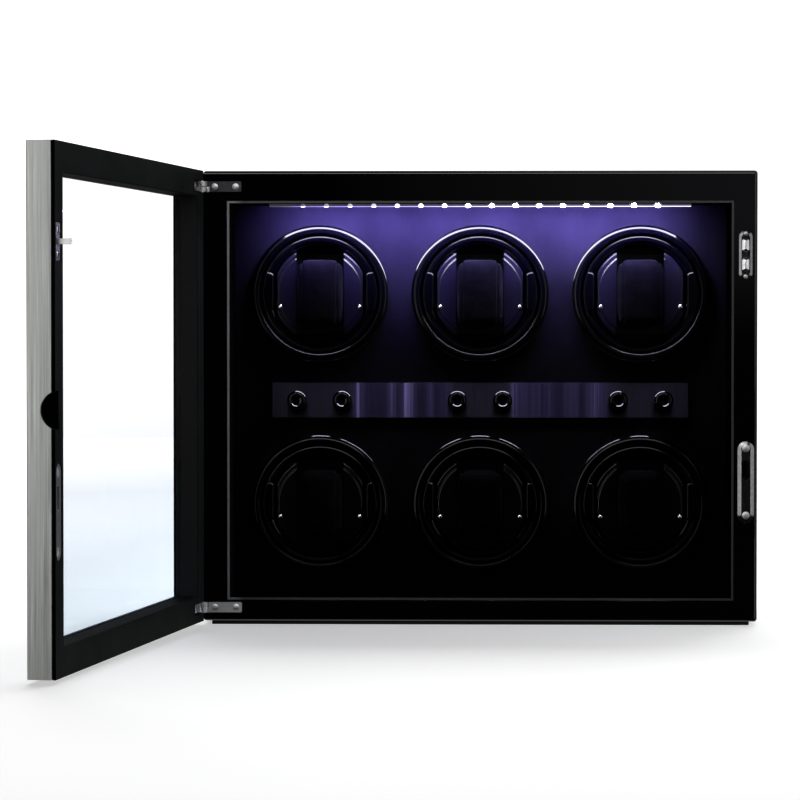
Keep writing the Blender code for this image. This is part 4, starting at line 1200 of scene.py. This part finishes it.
def make_world():
    """White to the camera. Gloss sees a dark room to the front with pale walls, and soft fill is dim."""
    world = bpy.data.worlds.new("studio")
    scene.world = world
    world.use_nodes = True
    world.node_tree.nodes.clear()
    made = Nodes(world.node_tree)
    direction = made.node("TexCoord", "Generated")

    def part(letter, low, high):
        """0 to 1 as a direction's x, y or z goes from low to high."""
        return made.remap(made.node("SeparateXYZ", letter, Vector=direction), 0.0, 1.0, low, high)

    def plain(colour, strength):
        return made.node("Background", "Background", Color=colour, Strength=strength)

    def walls(stops, strength):
        """Grey by how far a direction points to the back, from -1 to 1."""
        halved = [((place + 1) / 2, grey) for place, grey in stops]
        return plain(made.ramp(part("Y", -1.0, 1.0), *halved), strength)

    fill = walls([(-0.12, 0.003), (0.5, 0.75)], 0.9)
    gloss = walls([(-0.90, 0.004), (-0.45, 0.03), (0.0, 0.40), (0.6, 0.55)], 1.0)
    haze = part("Y", -0.90, -0.97)
    for factor in (part("X", -0.046, -0.034), part("X", -0.06, 0.08), part("Z", -0.004, 0.030)):
        haze = made.math("MULTIPLY", haze, factor)
    gloss = made.either(haze, gloss, plain((1, 1, 1.12), 0.075))
    indirect = made.either(made.node("LightPath", "Is Glossy Ray"), fill, gloss)
    shown = made.either(made.node("LightPath", "Is Camera Ray"), indirect, plain((1, 1, 1), 1.5))
    made.feed(made.tree.nodes.new("ShaderNodeOutputWorld").inputs["Surface"], shown)


def make_lights():
    """Key behind the top, softboxes that only gloss and metal catch, a side fill for the open door,
    and the LED bar's glow."""
    only_gloss = dict(diffuse=False)
    lamp("key", (0.0, 1.6, 2.2), (0, 0.0, 0), (2.2, 1.5), 72, glossy=False)
    lamp("softbox_left", (-1.28, -2.35, 0.45), (-0.2, -0.4, 0.17), (0.8, 1.5), 3.8, **only_gloss)
    lamp("softbox_right", (1.55, -2.25, 0.45), (0, -0.1, 0.17), (0.8, 1.5), 3.0, **only_gloss)
    lamp("softbox_top", (0.0, -2.3, 1.08), (0, -0.1, 0.17), (1.3, 0.55), 6.5, **only_gloss)
    y, z = bar_low.y - 0.001, bar_low.z - 0.002
    glow = lamp("led_glow", (0, y, z), (0, facia_y, z - 0.016), (0.29, 0.004), 0.33, VIOLET, False)
    glow.data.spread = math.radians(104)
    pale = (0.8, 0.76, 1.0)
    lamp("led_gloss", (0.0, y + 0.006, z), (0.0, y + 0.016, 0), (0.33, 0.034), 2.0, pale, **only_gloss)
    lamp("softbox_near", (-0.75, -2.45, 0.45), (-0.1, -0.1, 0.17), (0.22, 1.2), 1.7, **only_gloss)
    lamp("door_fill", (1.0, -0.165, 0.20), (case_low.x, -0.23, 0.19), (0.10, 0.5), 7.5, glossy=False)


def make_camera():
    """Square to the cabinet's front, a little above its middle, looking down and left of it."""
    camera = bpy.data.cameras.new("camera")
    camera.sensor_width, camera.lens, camera.clip_end = 36.0, 145.7, 50
    made = bpy.data.objects.new("camera", camera)
    scene.collection.objects.link(made)
    distance, rise, yaw, pitch = 2.455, 0.054, 1.415, 1.327
    made.location = (0, front_y - distance, middle_z + rise)
    made.rotation_euler = (math.radians(90 - pitch), 0, math.radians(yaw))
    scene.camera = made


make_floor()
make_world()
make_lights()
make_camera()
scene.view_settings.view_transform = "Standard"
